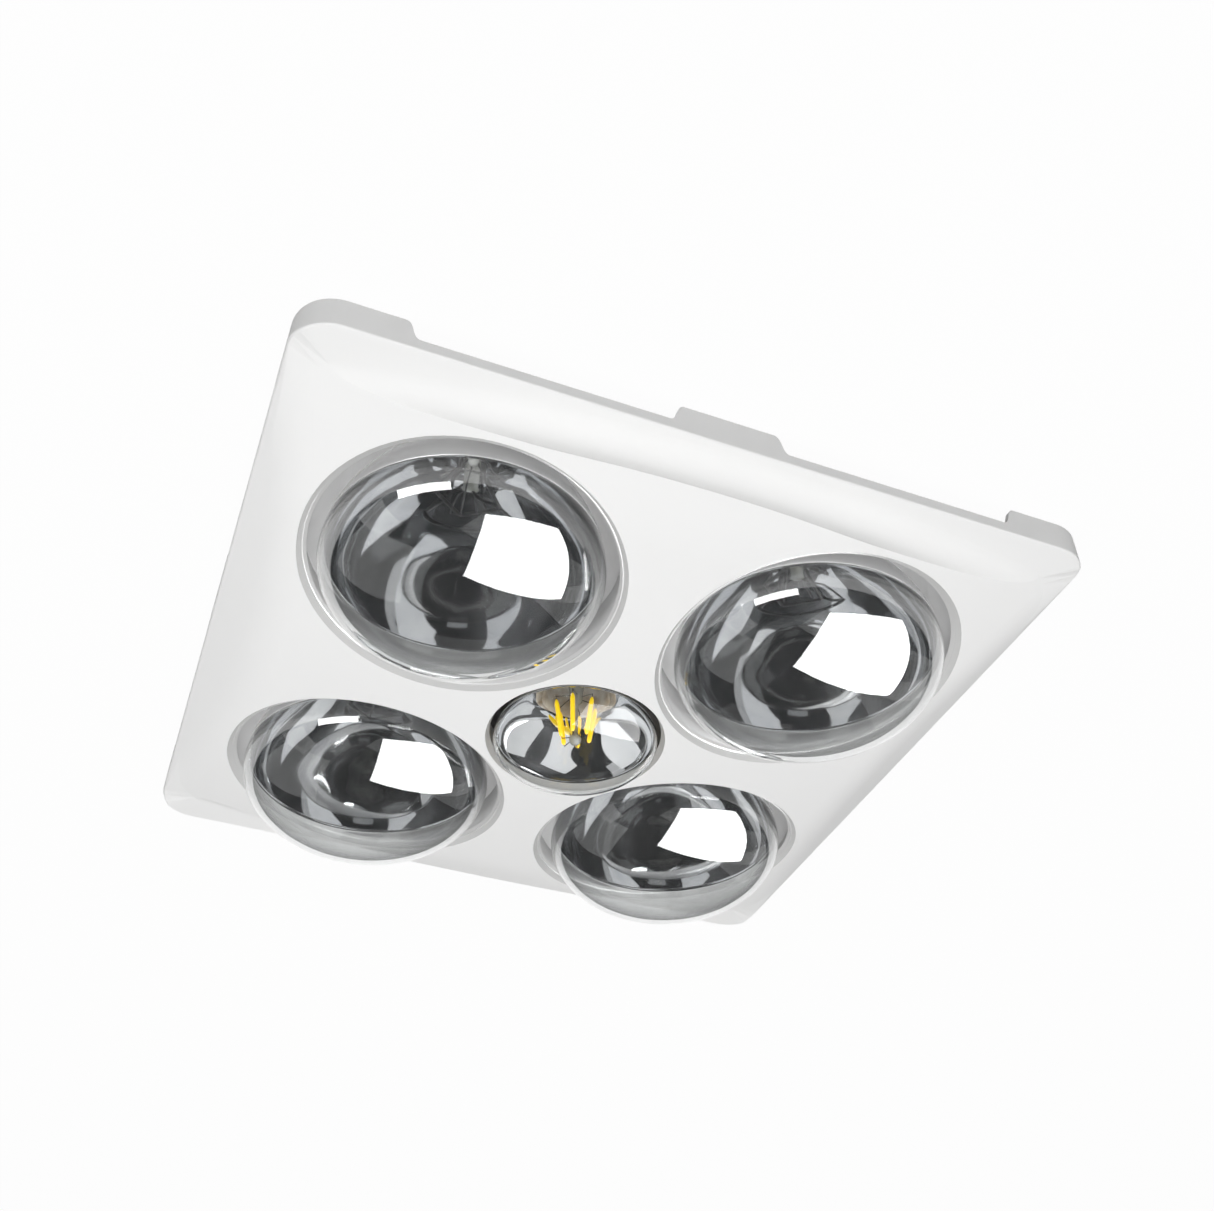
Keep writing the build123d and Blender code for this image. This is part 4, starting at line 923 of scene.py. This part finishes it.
def shown(tree, path):
    """1 for what is seen directly, in metal or through glass, and 0 for what only lights the object."""
    seen = combined(tree, "MAXIMUM", path.outputs["Is Camera Ray"], path.outputs["Is Glossy Ray"])
    return combined(tree, "MAXIMUM", seen, path.outputs["Is Transmission Ray"])


def card_look(name, strength):
    """Plain light of one strength."""
    material = bpy.data.materials.new(name)
    tree = emptied_tree(material)
    light = tree.nodes.new("ShaderNodeEmission")
    light.inputs["Strength"].default_value = strength
    out = tree.nodes.new("ShaderNodeOutputMaterial")
    tree.links.new(light.outputs["Emission"], out.inputs["Surface"])
    return material


def ceiling_look():
    """White ceiling paint that keeps a faint shadow, and that isn't there for someone above it."""
    material = bpy.data.materials.new("ceiling_paint")
    tree = emptied_tree(material)
    path = tree.nodes.new("ShaderNodeLightPath")
    side = tree.nodes.new("ShaderNodeNewGeometry")
    paint = tree.nodes.new("ShaderNodeBsdfDiffuse")
    paint.inputs["Color"].default_value = (*CEILING_PAINT, 1.0)
    white = tree.nodes.new("ShaderNodeEmission")
    clear = tree.nodes.new("ShaderNodeBsdfTransparent")
    glow = combined(tree, "MULTIPLY", shown(tree, path), CEILING_GLOW)
    from_below = mixed(tree, glow, paint.outputs["BSDF"], white.outputs["Emission"])
    above = combined(tree, "SUBTRACT", side.outputs["Backfacing"], path.outputs["Is Glossy Ray"])
    one_sided = mixed(tree, above, from_below, clear.outputs["BSDF"])
    out = tree.nodes.new("ShaderNodeOutputMaterial")
    tree.links.new(one_sided, out.inputs["Surface"])
    return material


def make_ceiling():
    """The ceiling round the square cut-out, facing down."""
    _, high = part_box("top_plate")
    corners = [(-1, -1), (1, -1), (1, 1), (-1, 1)]
    points = [(x * CEILING_HALF, y * CEILING_HALF, 0) for x, y in corners]
    points += [(x * high.x, y * high.x, 0) for x, y in corners]
    faces = [[n, 4 + n, 4 + (n + 1) % 4, (n + 1) % 4] for n in range(4)]
    new_object("ceiling", points, faces, ceiling_look())


def make_camera():
    """The photograph's camera."""
    camera = in_scene("camera", bpy.data.cameras.new("camera"))
    right, up = Vector(CAMERA_RIGHT), -Vector(CAMERA_DOWN)
    turned_to = Matrix((right, up, right.cross(up))).transposed().to_4x4()
    camera.matrix_world = Matrix.Translation(CAMERA_PLACE) @ turned_to
    camera.data.sensor_width = SENSOR_WIDTH
    camera.data.lens = LENS
    camera.data.clip_start = CLIP_START
    bpy.context.scene.camera = camera


def make_world():
    """Even fill light, white where it is seen directly, in metal or through glass."""
    world = bpy.data.worlds.new("studio")
    bpy.context.scene.world = world
    tree = emptied_tree(world)
    path = tree.nodes.new("ShaderNodeLightPath")
    level = tree.nodes.new("ShaderNodeMapRange")
    level.inputs["To Min"].default_value = FILL_LIGHT
    level.inputs["To Max"].default_value = 1.0
    tree.links.new(shown(tree, path), level.inputs["Value"])
    ground = tree.nodes.new("ShaderNodeBackground")
    ground.inputs["Color"].default_value = (1.0, 1.0, 1.0, 1.0)
    tree.links.new(level.outputs["Result"], ground.inputs["Strength"])
    out = tree.nodes.new("ShaderNodeOutputWorld")
    tree.links.new(ground.outputs["Background"], out.inputs["Surface"])


def make_softbox(name, place, target, side, strength):
    """A square soft light that lights surfaces and isn't seen itself."""
    data = bpy.data.lights.new(name, "AREA")
    data.size = side
    data.energy = strength * side * side * pi
    lamp = in_scene(name, data)
    way = Vector(target) - Vector(place)
    lamp.matrix_world = Matrix.Translation(place) @ way.to_track_quat("-Z", "Y").to_matrix().to_4x4()
    lamp.visible_camera = False
    lamp.visible_glossy = False
    lamp.visible_transmission = False


def make_card(name, corners, shade, outside=True, inside=True):
    """A card that shows only as a reflection, on the outside of things or inside the glass."""
    card = new_object(name, corners, [list(range(len(corners)))], card_look(name, shade))
    card.visible_camera = False
    card.visible_diffuse = False
    card.visible_shadow = False
    card.visible_glossy = outside
    card.visible_transmission = inside


def make_floor(name):
    """A round dark card that lies below the object."""
    turns = [tau * n / FLOOR_STEPS for n in range(FLOOR_STEPS)]
    corners = [(FLOOR_RADIUS * cos(t), FLOOR_RADIUS * sin(t), FLOOR_Z) for t in turns]
    make_card(name, corners, FLOOR_SHADE)


def make_wall(name, radius, low_z, high_z, start, end, shade):
    """A row of cards that stands round the object between two bearings."""
    turns = [radians(start + (end - start) * n / WALL_STEPS) for n in range(WALL_STEPS + 1)]
    for n, (a, b) in enumerate(zip(turns, turns[1:])):
        round_card = ((a, low_z), (b, low_z), (b, high_z), (a, high_z))
        make_card(f"{name}_{n}", [(radius * cos(t), radius * sin(t), z) for t, z in round_card], shade)


def make_facing_card(name, direction, distance, width, height, shade, roll, **seen):
    """A rectangular card in a direction from the middle of the panel, square to it."""
    way = Vector(direction).normalized()
    side = way.cross(Vector((0, 0, 1))).normalized()
    up = side.cross(way)
    side, up = cos(roll) * side + sin(roll) * up, cos(roll) * up - sin(roll) * side
    middle = way * distance
    signs = ((-1, -1), (1, -1), (1, 1), (-1, 1))
    corners = [middle + side * (a * width / 2) + up * (b * height / 2) for a, b in signs]
    make_card(name, corners, shade, **seen)


make_camera()
make_ceiling()
make_world()
make_floor("dark_card")
for wall in WALLS:
    make_wall(*wall)
for card in GLASS_CARDS:
    make_facing_card(*card, inside=False)
for card in MIRROR_CARDS:
    make_facing_card(*card, outside=False)
for softbox in SOFTBOXES:
    make_softbox(*softbox)

bpy.context.scene.view_settings.view_transform = "Standard"
